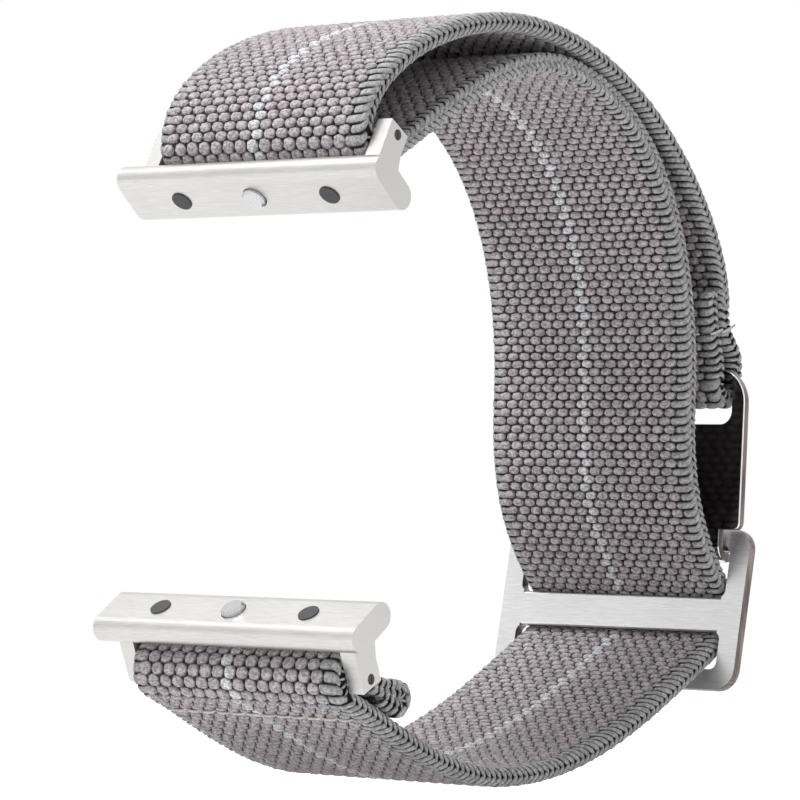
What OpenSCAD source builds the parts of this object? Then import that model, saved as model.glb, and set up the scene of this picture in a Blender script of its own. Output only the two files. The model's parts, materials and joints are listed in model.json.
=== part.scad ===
// Canvas watch strap: one elastic woven band, closed as worn, with a slider and a hook.
// The origin lies midway between the two spring bars.
// +X runs along the spring bars, -Y looks to the front and +Z to the upper bar.

/* [Webbing] */
// Width of the webbing
web_w = 22; // [20:0.25:22]
// Thickness of the webbing
web_t = 1.8; // [1.5:0.05:1.85]
// Gap between two layers of webbing that lie on each other
layer_gap = 0.06; // [0.03:0.01:0.12]

/* [Wrist loop] */
// Distance between the axes of the two spring bars
bar_span = 44; // [40:0.5:50]
// Distance of the inner run's back from the spring bars
back_y = 45.9; // [45:0.1:46.2]
// Height of the inner run's crest above the upper bar
inner_rise = 9.4; // [8.8:0.1:9.6]
// Gap between the inner and the outer run at their crests
crest_gap = 0.84; // [0.8:0.02:1.4]
// Depth of the lower run's lowest point below the lower bar
lower_drop = 7.8; // [7.2:0.1:9]

/* [Slider plate] */
// Width of the slider plate
slider_w = 27; // [26:0.25:30]
// Thickness of the slider plate
slider_t = 1; // [0.8:0.05:1.1]
// Clearance between the webbing's edges and its two slots
slot_clear = 0.5; // [0.3:0.05:0.7]
// Height of its middle bar
mid_bar_h = 3.2; // [2.8:0.1:3.6]
// Height of the upper slot, which also takes the hook
upper_slot_h = 4.6; // [4.5:0.1:5]
// Height of the lower slot
lower_slot_h = 3.4; // [3.3:0.1:4]
// Height of the top bar, which the hook holds
top_bar_h = 1.8; // [1.6:0.1:2.6]
// Height of the bottom bar
bottom_bar_h = 1.85; // [1.4:0.05:2.6]
// Radius of the plate's outer corners
slider_corner_r = 2; // [1:0.1:2.4]
// Radius of the slots' corners
slider_slot_r = 0.7; // [0.4:0.1:0.7]
// Rounding of the long edges that the webbing and the hook bear on
bar_edge_r = 0.3; // [0.15:0.05:0.35]
// Distance of the middle bar's centre behind the spring bars
slider_y = 51.9; // [51.6:0.1:52.1]
// Height of the middle bar's centre, below the origin
slider_z = -15; // [-15.2:0.1:-14.8]
// Backward lean of the plate's top, in degrees
slider_lean = 8.8; // [7:0.1:10]

/* [Hook plate] */
// Width of the hook plate
hook_w = 26; // [25.2:0.2:27]
// Thickness of the hook plate
hook_t = 0.8; // [0.6:0.05:0.8]
// Height of the hook plate above its shoulders
hook_h = 14.65; // [13.8:0.05:14.8]
// Width of each side bar, beside its webbing slot
hook_side_w = 1.4; // [1:0.05:1.4]
// Height of its webbing slot
hook_slot_h = 3.5; // [2.9:0.1:4]
// Height of the bar that the webbing goes round
hook_bar_h = 1.6; // [1.4:0.1:2.2]
// Radius of the webbing slot's upper corners
hook_eye_r = 0.8; // [0.5:0.1:0.8]
// Radius of the webbing slot's lower corners
hook_slot_r = 1.2; // [0.5:0.1:1.5]
// Radius of the plate's upper corners
hook_corner_r = 3.2; // [1.5:0.1:3.4]
// Width of the hook's tongue
tongue_w = 21.6; // [16:0.2:21.6]
// Reach of the hook plate's shoulders below the slider's top edge, in front of it
shoulder_lap = 0.1; // [0:0.05:0.2]
// Clearance between the hook and the slider's top bar
hook_clear = 0.28; // [0.25:0.01:0.32]
// Length of the hook's upturned lip
lip_h = 1; // [0.6:0.1:1.2]

/* [Rail connectors] */
// Width over the two ears
connector_w = 25.4; // [25.2:0.1:27]
// Thickness of each ear
ear_t = 1.5; // [1.2:0.1:1.6]
// Length of the rail, which slides into a channel
rail_len = 28; // [27.6:0.1:30]
// Depth of the rail's oval section
rail_d = 5.4; // [5:0.1:6]
// Thickness of the rail's oval section
rail_t = 2.3; // [2.2:0.05:2.5]
// Distance from the spring bar to the rail's middle
rail_drop = 4.42; // [4.3:0.02:5]
// Distance of the rail's middle behind the spring bar, along the rail's section
rail_back = 1.05; // [0.6:0.05:1.4]
// Slope of the rail's section, in degrees
rail_slope = 38; // [34:1:42]

/* [Spring bars] */
// Outer diameter of the spring bar's tube
tube_d = 1.5; // [1.4:0.02:1.6]
// Bore of the tube
tube_bore = 1.04; // [1:0.01:1.1]
// Gap between the tube's end and the ear
tube_end_gap = 0.6; // [0.3:0.05:1]
// Length of the closed-in collar at each end of the tube
collar_len = 0.3; // [0.2:0.05:0.5]
// Diameter of the tip's nose
nose_d = 0.8; // [0.7:0.01:0.82]
// Length of the tip's shoulder inside the tube
tip_shoulder_len = 2.2; // [1.5:0.1:3]
// Depth of the tip's end below the ear's outer face
tip_recess = 0.3; // [0.1:0.05:0.5]
// Diameter of the spring's wire
spring_wire = 0.16; // [0.12:0.01:0.2]
// Turns of the bar's spring
spring_turns = 14; // [8:1:20]
// Gap between the tube and the webbing's loop
loop_clear = 0.1; // [0.05:0.01:0.1]
// Running clearance of the tips, on the radius
tip_clear = 0.05; // [0.03:0.01:0.06]

/* [Catches and pads] */
// Diameter of the catch's head
catch_d = 2.1; // [1.8:0.1:2.2]
// Diameter of the catch's flange
catch_flange_d = 2.7; // [2.5:0.1:2.9]
// Height of the catch's flange
catch_flange_h = 0.4; // [0.3:0.05:0.45]
// Length of the head that stands out of the rail
catch_out = 0.45; // [0.3:0.05:0.6]
// Thickness of the rim that keeps the catch in
catch_rim = 0.35; // [0.3:0.05:0.4]
// Height of the catch's spring
catch_spring_h = 0.7; // [0.6:0.05:0.75]
// Turns of the catch's spring
catch_spring_turns = 3; // [2:1:4]
// Diameter of each grip pad
pad_d = 1.8; // [1.4:0.1:2.2]
// Height of each grip pad
pad_h = 0.6; // [0.4:0.05:0.8]
// Length of each pad that stands out of the rail
pad_out = 0.12; // [0.05:0.01:0.2]
// Distance between the two pads of a connector
pad_span = 16; // [10:0.5:20]

/* [Stitching] */
// Diameter of the thread
thread_d = 0.35; // [0.25:0.05:0.45]
// Number of stitches in a row
stitch_count = 12; // [8:1:16]
// Distance of the outer stitches from the webbing's edges
stitch_margin = 1.2; // [0.8:0.1:2]

/* [Hidden] */
$fn = 48;
eps = 0.01;

web_col = [0.48, 0.45, 0.44];
thread_col = [0.66, 0.64, 0.63];
plate_col = [0.78, 0.78, 0.79];
connector_col = [0.86, 0.85, 0.83];
steel_col = [0.62, 0.62, 0.64];
pad_col = [0.3, 0.3, 0.31];

bar_z = bar_span / 2;
upper_bar = [0, bar_z];
lower_bar = [0, -bar_z];
half_t = web_t / 2;
layer_step = web_t + layer_gap;
loop_r = tube_d / 2 + loop_clear + half_t;

// Where the runs leave the two spring bars, in degrees round the bar's axis
upper_front_a = 180;
upper_back_a = 295;
lower_run_a = 252;
lower_fold_a = 32;

// The slider plate's own axes: up along the plate, and outwards
up_dir = [sin(slider_lean), cos(slider_lean)];
out_dir = [cos(slider_lean), -sin(slider_lean)];
slider_c = [slider_y, slider_z];
slider_slot_w = web_w + 2 * slot_clear;
slider_top = mid_bar_h / 2 + upper_slot_h + top_bar_h;
slider_bottom = -mid_bar_h / 2 - lower_slot_h - bottom_bar_h;
slider_top_z = slider_z + slider_top * cos(slider_lean);
// Angles at which the webbing crosses the plate, from its normal
enter_a = 35;
leave_a = 40;
bend_clear = 0.05;
bend_r = bar_edge_r + bend_clear + half_t;
bend_w = slider_t / 2 - bar_edge_r;
bend_s = mid_bar_h / 2 - bar_edge_r;

// The hook plate hangs upright, just inside the slider's top bar
hook_slot_w = hook_w - 2 * hook_side_w;
top_bar_low = slider_c + (slider_top - top_bar_h) * up_dir;
hook_out_y = top_bar_low[0] - slider_t / 2 * cos(slider_lean) - hook_clear;
hook_y = hook_out_y - hook_t / 2;
shoulder_z = slider_top_z - shoulder_lap;
hook_top_z = shoulder_z + hook_h;
hook_bar_z = hook_top_z - hook_bar_h;
hook_bend_r = (slider_t / cos(slider_lean) + 2 * hook_clear) / 2;
hook_hang = 0.1;
hook_bend_y = hook_out_y + hook_bend_r;
hook_bend_z = top_bar_low[1] + hook_bend_r - slider_t / 2 * sin(slider_lean) - hook_clear - hook_hang;
// The webbing's loop round the hook plate's top bar
fold_clear = 0.1;
fold_rise = 0.2;
fold_r = hook_t / 2 + fold_clear + half_t;
fold_z = hook_bar_z + fold_rise;

// Points of the band's middle line, as [behind, up]
function circ(c, r, a) = c + r * [cos(a), sin(a)];
function at_slider(w, s) = slider_c + s * up_dir + w * out_dir;
function bez(p, t) =
    pow(1 - t, 3) * p[0] + 3 * pow(1 - t, 2) * t * p[1]
    + 3 * (1 - t) * t * t * p[2] + pow(t, 3) * p[3];
function curve(p, n, t0 = 0, t1 = 1) = [for (i = [0:n]) bez(p, t0 + (t1 - t0) * i / n)];
function arc(c, r, a0, a1, n) = [for (i = [0:n]) circ(c, r, a0 + (a1 - a0) * i / n)];
function unit(v) = v / norm(v);
function tail(list) = [for (i = [1:len(list) - 1]) list[i]];
function heading(a) = [cos(a), sin(a)];
// A curve from one point and heading to another; each reach says how long it keeps that heading
function span(a, from_dir, from_reach, b, to_dir, to_reach) =
    [a, a + from_reach * from_dir, b - to_reach * to_dir, b];
function slope(p, t) = unit(bez(p, min(t + 0.002, 1)) - bez(p, max(t - 0.002, 0)));
function left(v) = [-v[1], v[0]];

// Places that the band passes, and its headings there
inner_crest_back = 24;
outer_crest_back = 20;
low_back = 20;
back_rise = 4;
back_lean = 0.7;
outer_lean = 2.9;
inner_crest = [inner_crest_back, bar_z + inner_rise];
outer_crest = [outer_crest_back, bar_z + inner_rise + layer_step + crest_gap];
back_point = [back_y, back_rise];
back_dir = heading(back_lean - 90);
low_point = [low_back, -bar_z - lower_drop];
bend_top = at_slider(bend_w + bend_r * sin(enter_a), bend_s + bend_r * cos(enter_a));
bend_low = at_slider(bend_w + bend_r * sin(leave_a), -bend_s - bend_r * cos(leave_a));
enter_dir = cos(enter_a) * out_dir - sin(enter_a) * up_dir;
leave_dir = -cos(leave_a) * out_dir - sin(leave_a) * up_dir;
inner_start = circ(upper_bar, loop_r, upper_back_a);
inner_dir = heading(upper_back_a + 90);
outer_end = circ(upper_bar, loop_r, upper_front_a);
outer_end_dir = heading(upper_front_a + 90);
lower_end = circ(lower_bar, loop_r, lower_run_a);
lower_dir = heading(lower_run_a - 90);
fold_start = circ(lower_bar, loop_r, lower_fold_a);
fold_dir = heading(lower_fold_a - 90);
backwards_dir = [-1, 0];
forwards_dir = [1, 0];
up_z = [0, 1];

// Reach of the curves at their ends, from the upper bar round the wrist to the lower bar
inner_loop_reach = 5.5;
inner_crest_reach_front = 8.5;
inner_crest_reach_back = 11.5;
back_reach_up = 18;
back_reach_down = 9;
bend_top_reach = 5.5;
bend_low_reach = 12;
low_reach_back = 13;
low_reach_front = 8;
lower_loop_reach = 5;

inner_front_curve =
    span(inner_start, inner_dir, inner_loop_reach, inner_crest, forwards_dir, inner_crest_reach_front);
inner_back_curve =
    span(inner_crest, forwards_dir, inner_crest_reach_back, back_point, back_dir, back_reach_up);
inner_lead_curve = span(back_point, back_dir, back_reach_down, bend_top, enter_dir, bend_top_reach);
lower_lead_curve =
    span(bend_low, leave_dir, bend_low_reach, low_point, backwards_dir, low_reach_back);
lower_front_curve =
    span(low_point, backwards_dir, low_reach_front, lower_end, lower_dir, lower_loop_reach);

// The hook end's two legs lean inwards above the plate
leg_over = 0.1;
inner_leg_under = 1;
outer_top_in = 1.1;
outer_top_rise = 5.7;
inner_leg_in = 3.05;
inner_leg_rise = 6.7;
outer_top = [hook_y - outer_top_in, hook_top_z + outer_top_rise];
outer_top_dir = heading(90 + outer_lean);
inner_leg_end = [hook_y - inner_leg_in, hook_top_z + inner_leg_rise];
inner_leg_low = [hook_y - fold_r, hook_top_z - inner_leg_under];
outer_leg_low = [hook_y + fold_r, hook_top_z + leg_over];

// Reach of the curves at their ends, from the hook to the upper bar
inner_leg_end_reach = 4;
inner_leg_low_reach = 2.8;
outer_leg_low_reach = 2.4;
outer_top_reach_down = 3.9;
outer_top_reach_up = 7;
outer_crest_reach_back = 17.5;
outer_crest_reach_front = 9.5;
outer_loop_reach = 6.5;

inner_leg_curve =
    span(inner_leg_end, -up_z, inner_leg_end_reach, inner_leg_low, -up_z, inner_leg_low_reach);
outer_leg_curve =
    span(outer_leg_low, up_z, outer_leg_low_reach, outer_top, outer_top_dir, outer_top_reach_down);
outer_back_curve =
    span(outer_top, outer_top_dir, outer_top_reach_up, outer_crest, backwards_dir, outer_crest_reach_back);
outer_front_curve =
    span(outer_crest, backwards_dir, outer_crest_reach_front, outer_end, outer_end_dir, outer_loop_reach);

// The lower fold's cut end is tucked under, in a hem that lies on the lower run's wrist side
hem_r = 1.65;
hem_tail_r = 0.8;
hem_share = 0.67;
hem_tail_share = 0.78;
hem_sink = 0.06;
fold_end_a = -4;
fold_start_reach = 2.2;
fold_end_reach = 1.6;
function on_lower_run(share, r) =
    bez(lower_front_curve, share)
    - (half_t + layer_gap + r) * left(slope(lower_front_curve, share));
hem_c = on_lower_run(hem_share, hem_r);
hem_tail_c = on_lower_run(hem_tail_share, hem_tail_r);
fold_end_dir = heading(fold_end_a);
lower_fold_end = hem_c + (hem_r - half_t - hem_sink) * left(fold_end_dir);
lower_fold_curve =
    span(fold_start, fold_dir, fold_start_reach, lower_fold_end, fold_end_dir, fold_end_reach);

// Share of each curve at which one stretch of the band hands over to the next
lead_split = 0.4;

hook_fold_path = concat(
    curve(inner_leg_curve, 8),
    arc([hook_y, fold_z], fold_r, 180, 360, 10),
    curve(outer_leg_curve, 8)
);
outer_lead_path = curve(outer_back_curve, 8, 0, lead_split);
outer_run_path = concat(curve(outer_back_curve, 10, lead_split, 1), tail(curve(outer_front_curve, 16)));
inner_run_path = concat(curve(inner_front_curve, 14), tail(curve(inner_back_curve, 16)));
inner_lead_path = curve(inner_lead_curve, 12);
slider_bend_path = concat(
    arc(at_slider(bend_w, bend_s), bend_r, 90 - enter_a - slider_lean, -slider_lean, 5),
    arc(at_slider(bend_w, -bend_s), bend_r, -slider_lean, -90 + leave_a - slider_lean, 5)
);
lower_lead_path = curve(lower_lead_curve, 10, 0, lead_split);
lower_run_path = concat(curve(lower_lead_curve, 10, lead_split, 1), tail(curve(lower_front_curve, 14)));
lower_fold_path = curve(lower_fold_curve, 6);

// Headings of the band where a curve is split
outer_split_dir = slope(outer_back_curve, lead_split);
lower_split_dir = slope(lower_lead_curve, lead_split);

function along(p, i, first, last) =
    i == 0 ? first : i == len(p) - 1 ? last : unit(unit(p[i + 1] - p[i]) + unit(p[i] - p[i - 1]));
function offset_line(p, d, first, last) =
    [for (i = [0:len(p) - 1]) p[i] + d * left(along(p, i, first, last))];
function backwards(list) = [for (i = [len(list) - 1:-1:0]) list[i]];

// Draws a flat outline of [behind, up] points as a solid across the band
module across(width) {
    rotate([90, 0, 90])
        linear_extrude(height = width, center = true)
            children();
}

// The side view of a stretch of webbing along a middle line
module ribbon_outline(path, first, last) {
    polygon(concat(
        offset_line(path, half_t, first, last),
        backwards(offset_line(path, -half_t, first, last))
    ));
}

module ribbon(path, first, last) {
    across(web_w) ribbon_outline(path, first, last);
}

// Part of a ring of webbing round a spring bar
module webbing_ring(centre, from_a, to_a) {
    translate([0, centre[0], centre[1]])
        rotate([90, 0, 90])
            rotate([0, 0, from_a])
                rotate_extrude(angle = to_a - from_a)
                    translate([loop_r - half_t, -web_w / 2])
                        square([web_t, web_w]);
}

module webbing_lower_fold() {
    color(web_col) {
        webbing_ring(lower_bar, lower_fold_a, lower_run_a);
        across(web_w) {
            ribbon_outline(lower_fold_path, fold_dir, fold_end_dir);
            hull() {
                translate(hem_c) circle(r = hem_r);
                translate(hem_tail_c) circle(r = hem_tail_r);
            }
        }
    }
}

module webbing_lower_run() {
    color(web_col) ribbon(lower_run_path, lower_split_dir, lower_dir);
}

module webbing_lower_lead() {
    color(web_col) ribbon(lower_lead_path, leave_dir, lower_split_dir);
}

module webbing_slider_bend() {
    color(web_col) ribbon(slider_bend_path, enter_dir, leave_dir);
}

module webbing_inner_lead() {
    color(web_col) ribbon(inner_lead_path, back_dir, enter_dir);
}

module webbing_inner_run() {
    color(web_col) ribbon(inner_run_path, inner_dir, back_dir);
}

module webbing_upper_loop() {
    color(web_col) webbing_ring(upper_bar, upper_front_a, upper_back_a);
}

module webbing_outer_run() {
    color(web_col) ribbon(outer_run_path, outer_split_dir, outer_end_dir);
}

module webbing_outer_lead() {
    color(web_col) ribbon(outer_lead_path, outer_top_dir, outer_split_dir);
}

module webbing_hook_fold() {
    color(web_col) ribbon(hook_fold_path, -up_z, outer_top_dir);
}

// A row of lock stitches through two layers, between a point on each layer's middle line
thread_sink = 0.05;
// Where it is drawn tight through the layers, the thread is thinner by this share
leg_share = 0.8;
module stitch_row(low, high) {
    pitch = (web_w - 2 * stitch_margin) / stitch_count;
    face = norm(high - low) / 2 + half_t + thread_d / 2 - thread_sink;
    centre = (low + high) / 2;
    lean = atan2(high[1] - low[1], high[0] - low[0]);
    translate([0, centre[0], centre[1]])
        rotate([lean, 0, 0]) {
            for (side = [-1, 1])
                translate([0, side * face, 0])
                    rotate([0, 90, 0])
                        cylinder(d = thread_d, h = pitch * stitch_count + thread_d, center = true);
            for (i = [0:stitch_count])
                translate([(i - stitch_count / 2) * pitch, 0, 0])
                    rotate([90, 0, 0])
                        cylinder(d = thread_d * leg_share, h = 2 * face, center = true);
        }
}

// Shares of the curves at which the two rows of stitches lie
run_stitch_share = 0.85;
fold_stitch_share = 0.36;
outer_stitch_share = 0.76;
inner_stitch_share = 0.39;

module lower_fold_stitching() {
    color(thread_col)
        stitch_row(bez(lower_front_curve, run_stitch_share), bez(lower_fold_curve, fold_stitch_share));
}

module hook_fold_stitching() {
    color(thread_col)
        stitch_row(bez(inner_leg_curve, inner_stitch_share), bez(outer_leg_curve, outer_stitch_share));
}

// A rectangle with round corners, centred across, from one height to another
module round_slab(width, low, high, r) {
    for (side = [-1, 1], z = [low + r, high - r])
        translate([side * (width / 2 - r), z])
            circle(r = r);
    translate([-width / 2, low + r])
        square([width, high - low - 2 * r]);
    translate([-width / 2 + r, low])
        square([width - 2 * r, high - low]);
}

// A square corner less its round, to take off a bar's long edge
module edge_cutter(r) {
    difference() {
        square([2 * r, 2 * r]);
        circle(r = r);
    }
}

// Rounds the two long edges of a bar at one height; the slot lies above it or below it
module edge_rounding(height, slot_above) {
    for (out = [0, 1])
        mirror([0, 0, out])
            translate([0, height, slider_t / 2 - bar_edge_r])
                mirror([0, slot_above ? 0 : 1, 0])
                    rotate([90, 0, 90])
                        linear_extrude(height = slider_slot_w - slider_slot_r, center = true)
                            edge_cutter(bar_edge_r);
}

module slider_plate() {
    bar_half = mid_bar_h / 2;
    color(plate_col)
        translate([0, slider_y, slider_z])
            rotate([90 - slider_lean, 0, 0])
                difference() {
                    linear_extrude(height = slider_t, center = true)
                        difference() {
                            round_slab(slider_w, slider_bottom, slider_top, slider_corner_r);
                            round_slab(slider_slot_w, bar_half, bar_half + upper_slot_h, slider_slot_r);
                            round_slab(slider_slot_w, -bar_half - lower_slot_h, -bar_half, slider_slot_r);
                        }
                    edge_rounding(bend_s, true);
                    edge_rounding(-bend_s, false);
                    edge_rounding(bar_half + upper_slot_h + bar_edge_r, false);
                }
}

// The tongue and its bend, seen from the side
module hook_profile() {
    lip_y = hook_bend_y + hook_bend_r;
    translate([hook_out_y - hook_t, hook_bend_z])
        square([hook_t, shoulder_z - hook_bend_z + eps]);
    difference() {
        translate([hook_bend_y, hook_bend_z])
            circle(r = hook_bend_r + hook_t);
        translate([hook_bend_y, hook_bend_z])
            circle(r = hook_bend_r);
        translate([hook_bend_y - 2 * hook_w, hook_bend_z])
            square(4 * hook_w);
    }
    translate([lip_y, hook_bend_z])
        square([hook_t, lip_h - hook_t / 2]);
    translate([lip_y + hook_t / 2, hook_bend_z + lip_h - hook_t / 2])
        circle(d = hook_t);
}

// The upright plate: large round corners above, small ones on its shoulders
foot_r = 0.6;
module hook_outline() {
    translate([-hook_w / 2, shoulder_z + foot_r])
        square([hook_w, hook_h - hook_corner_r - foot_r]);
    translate([-hook_w / 2 + hook_corner_r, hook_top_z - hook_corner_r - eps])
        square([hook_w - 2 * hook_corner_r, hook_corner_r + eps]);
    translate([-hook_w / 2 + foot_r, shoulder_z])
        square([hook_w - 2 * foot_r, foot_r + eps]);
    for (side = [-1, 1]) {
        translate([side * (hook_w / 2 - hook_corner_r), hook_top_z - hook_corner_r])
            circle(r = hook_corner_r);
        translate([side * (hook_w / 2 - foot_r), shoulder_z + foot_r])
            circle(r = foot_r);
    }
}

// The webbing slot, rounder where the webbing doesn't lie
module hook_eye() {
    low_z = hook_bar_z - hook_slot_h;
    hull()
        for (side = [-1, 1]) {
            translate([side * (hook_slot_w / 2 - hook_slot_r), low_z + hook_slot_r])
                circle(r = hook_slot_r);
            translate([side * (hook_slot_w / 2 - hook_eye_r), hook_bar_z - hook_eye_r])
                circle(r = hook_eye_r);
        }
}

module hook_plate() {
    color(plate_col) {
        translate([0, hook_out_y, 0])
            rotate([90, 0, 0])
                linear_extrude(height = hook_t)
                    difference() {
                        hook_outline();
                        hook_eye();
                    }
        across(tongue_w) hook_profile();
    }
}

// Places an end's pieces: the upper end as drawn, the lower end mirrored.
// Inside, the spring bar's axis is X, +Y runs back along the rail's section and -Z to the rail.
module end_place(lower) {
    mirror([0, 0, lower ? 1 : 0])
        translate([0, 0, bar_z])
            rotate([-rail_slope, 0, 0])
                children();
}

// Gap between pieces that rest on each other
fit_gap = 0.02;
ear_in = connector_w / 2 - ear_t;
hole_d = nose_d + 2 * tip_clear;
rail_face = -rail_drop - rail_t / 2;
catch_bore_h = catch_rim + catch_flange_h + catch_spring_h;
tube_half = ear_in - tube_end_gap;
tip_end = connector_w / 2 - tip_recess;
shoulder_d = tube_bore - 2 * tip_clear;
shoulder_out = tube_half - collar_len - fit_gap;
catch_coil_d = 1.9;
catch_wire = 0.14;

// Side view of an ear, as [back along the rail, out from it]: a blade that leans over the
// rail and is cut off flat beyond the spring bar
ear_foot_front = -0.24;
ear_foot_back = 3.2;
ear_front = [-1.4, 0.5];
ear_back = [1, 0.8];
ear_waist = [1.45, -1.1];
module ear_outline() {
    polygon([
        [ear_foot_front, -rail_drop], ear_front, ear_back, ear_waist, [ear_foot_back, -rail_drop]
    ]);
}

// The catch's stepped bore in the middle of the rail, and the two pad seats
module rail_seats() {
    translate([0, rail_back, rail_face - eps])
        cylinder(d = catch_d + 2 * tip_clear, h = catch_rim + 2 * eps);
    translate([0, rail_back, rail_face + catch_rim])
        cylinder(d = catch_flange_d + 2 * tip_clear, h = catch_bore_h - catch_rim);
    for (side = [-1, 1])
        translate([side * pad_span / 2, rail_back, rail_face - eps])
            cylinder(d = pad_d + 2 * fit_gap, h = pad_h - pad_out + fit_gap + eps);
}

module connector(lower) {
    rail_half = rail_d / 2 - rail_t / 2;
    color(connector_col)
        end_place(lower)
            difference() {
                union() {
                    translate([0, rail_back, -rail_drop])
                        across(rail_len) {
                            for (side = [-1, 1])
                                translate([side * rail_half, 0])
                                    circle(d = rail_t);
                            square([2 * rail_half, rail_t], center = true);
                        }
                    for (side = [-1, 1])
                        translate([side * (ear_in + ear_t / 2), 0, 0])
                            across(ear_t) ear_outline();
                }
                rail_seats();
                for (side = [-1, 1])
                    translate([side * (ear_in + ear_t / 2), 0, 0])
                        rotate([0, 90, 0])
                            cylinder(d = hole_d, h = ear_t + 1, center = true);
            }
}

module bar_tube(lower) {
    color(steel_col)
        end_place(lower)
            rotate([0, 90, 0])
                difference() {
                    cylinder(d = tube_d, h = 2 * tube_half, center = true);
                    cylinder(d = tube_bore, h = 2 * (tube_half - collar_len), center = true);
                    cylinder(d = hole_d, h = 2 * tube_half + 1, center = true);
                }
}

module bar_tip(lower, side) {
    color(steel_col)
        end_place(lower)
            mirror([side < 0 ? 1 : 0, 0, 0])
                rotate([0, 90, 0]) {
                    translate([0, 0, shoulder_out - tip_shoulder_len])
                        cylinder(d = shoulder_d, h = tip_shoulder_len);
                    translate([0, 0, shoulder_out - eps])
                        cylinder(d = nose_d, h = tip_end - shoulder_out + eps);
                }
}

// A round wire wound along Z from 0 to h, its ends on the two end planes
module coil(d, wire, h, turns, per_turn = 8, sides = 5) {
    rings = turns * per_turn;
    mid_r = (d - wire) / 2;
    points = [
        for (i = [0:rings], k = [0:sides - 1])
            let (
                a = 360 * i / per_turn,
                b = 360 * k / sides,
                r = mid_r + wire / 2 * cos(b),
                z = wire / 2 + (h - wire) * i / rings + wire / 2 * sin(b)
            )
            [r * cos(a), r * sin(a), z]
    ];
    walls = [
        for (i = [0:rings - 1], k = [0:sides - 1])
            let (
                p = i * sides + k,
                q = i * sides + (k + 1) % sides
            )
            each [[p, p + sides, q], [q, p + sides, q + sides]]
    ];
    caps = [
        [for (k = [0:sides - 1]) k],
        [for (k = [sides - 1:-1:0]) rings * sides + k]
    ];
    polyhedron(points = points, faces = concat(walls, caps), convexity = 10);
}

module bar_spring(lower) {
    spring_half = shoulder_out - tip_shoulder_len - fit_gap;
    color(steel_col)
        end_place(lower)
            rotate([0, 90, 0])
                translate([0, 0, -spring_half])
                    coil(shoulder_d - fit_gap, spring_wire, 2 * spring_half, spring_turns);
}

// Slope at the head's end, so that a channel's mouth pushes it in
catch_dome = 0.2;
module catch_pin(lower) {
    color(steel_col)
        end_place(lower)
            translate([0, rail_back, rail_face - catch_out]) {
                translate([0, 0, catch_dome])
                    cylinder(d = catch_d, h = catch_out + catch_rim - catch_dome + 2 * eps);
                cylinder(d1 = catch_d - 2 * catch_dome, d2 = catch_d, h = catch_dome);
                translate([0, 0, catch_out + catch_rim + eps])
                    cylinder(d = catch_flange_d, h = catch_flange_h - eps);
            }
}

module catch_spring(lower) {
    color(steel_col)
        end_place(lower)
            translate([0, rail_back, rail_face + catch_rim + catch_flange_h + fit_gap])
                coil(catch_coil_d, catch_wire, catch_spring_h - 2 * fit_gap, catch_spring_turns);
}

module grip_pad(lower, side) {
    color(pad_col)
        end_place(lower)
            translate([side * pad_span / 2, rail_back, rail_face - pad_out])
                cylinder(d = pad_d, h = pad_h);
}

webbing_lower_fold();
webbing_lower_run();
webbing_lower_lead();
webbing_slider_bend();
webbing_inner_lead();
webbing_inner_run();
webbing_upper_loop();
webbing_outer_run();
webbing_outer_lead();
webbing_hook_fold();
lower_fold_stitching();
hook_fold_stitching();
slider_plate();
hook_plate();
connector(false);  // upper_connector
bar_tube(false);  // upper_bar_tube
bar_spring(false);  // upper_bar_spring
bar_tip(false, 1);  // upper_bar_tip_right
bar_tip(false, -1);  // upper_bar_tip_left
catch_pin(false);  // upper_catch
catch_spring(false);  // upper_catch_spring
grip_pad(false, 1);  // upper_grip_pad_right
grip_pad(false, -1);  // upper_grip_pad_left
connector(true);  // lower_connector
bar_tube(true);  // lower_bar_tube
bar_spring(true);  // lower_bar_spring
bar_tip(true, 1);  // lower_bar_tip_right
bar_tip(true, -1);  // lower_bar_tip_left
catch_pin(true);  // lower_catch
catch_spring(true);  // lower_catch_spring
grip_pad(true, 1);  // lower_grip_pad_right
grip_pad(true, -1);  // lower_grip_pad_left
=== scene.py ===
"""Visual model of the canvas watch strap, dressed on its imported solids.

Every piece is in metres in the shared frame: the origin lies midway between the two spring
bars, +X runs along them, -Y looks to the front and +Z points to the upper bar.
"""

import json
import logging
import math
from dataclasses import dataclass, field
from enum import Enum, IntEnum
from typing import Any, Optional, Sequence, Union

import bmesh
import bpy
from mathutils import Matrix, Vector

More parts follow.
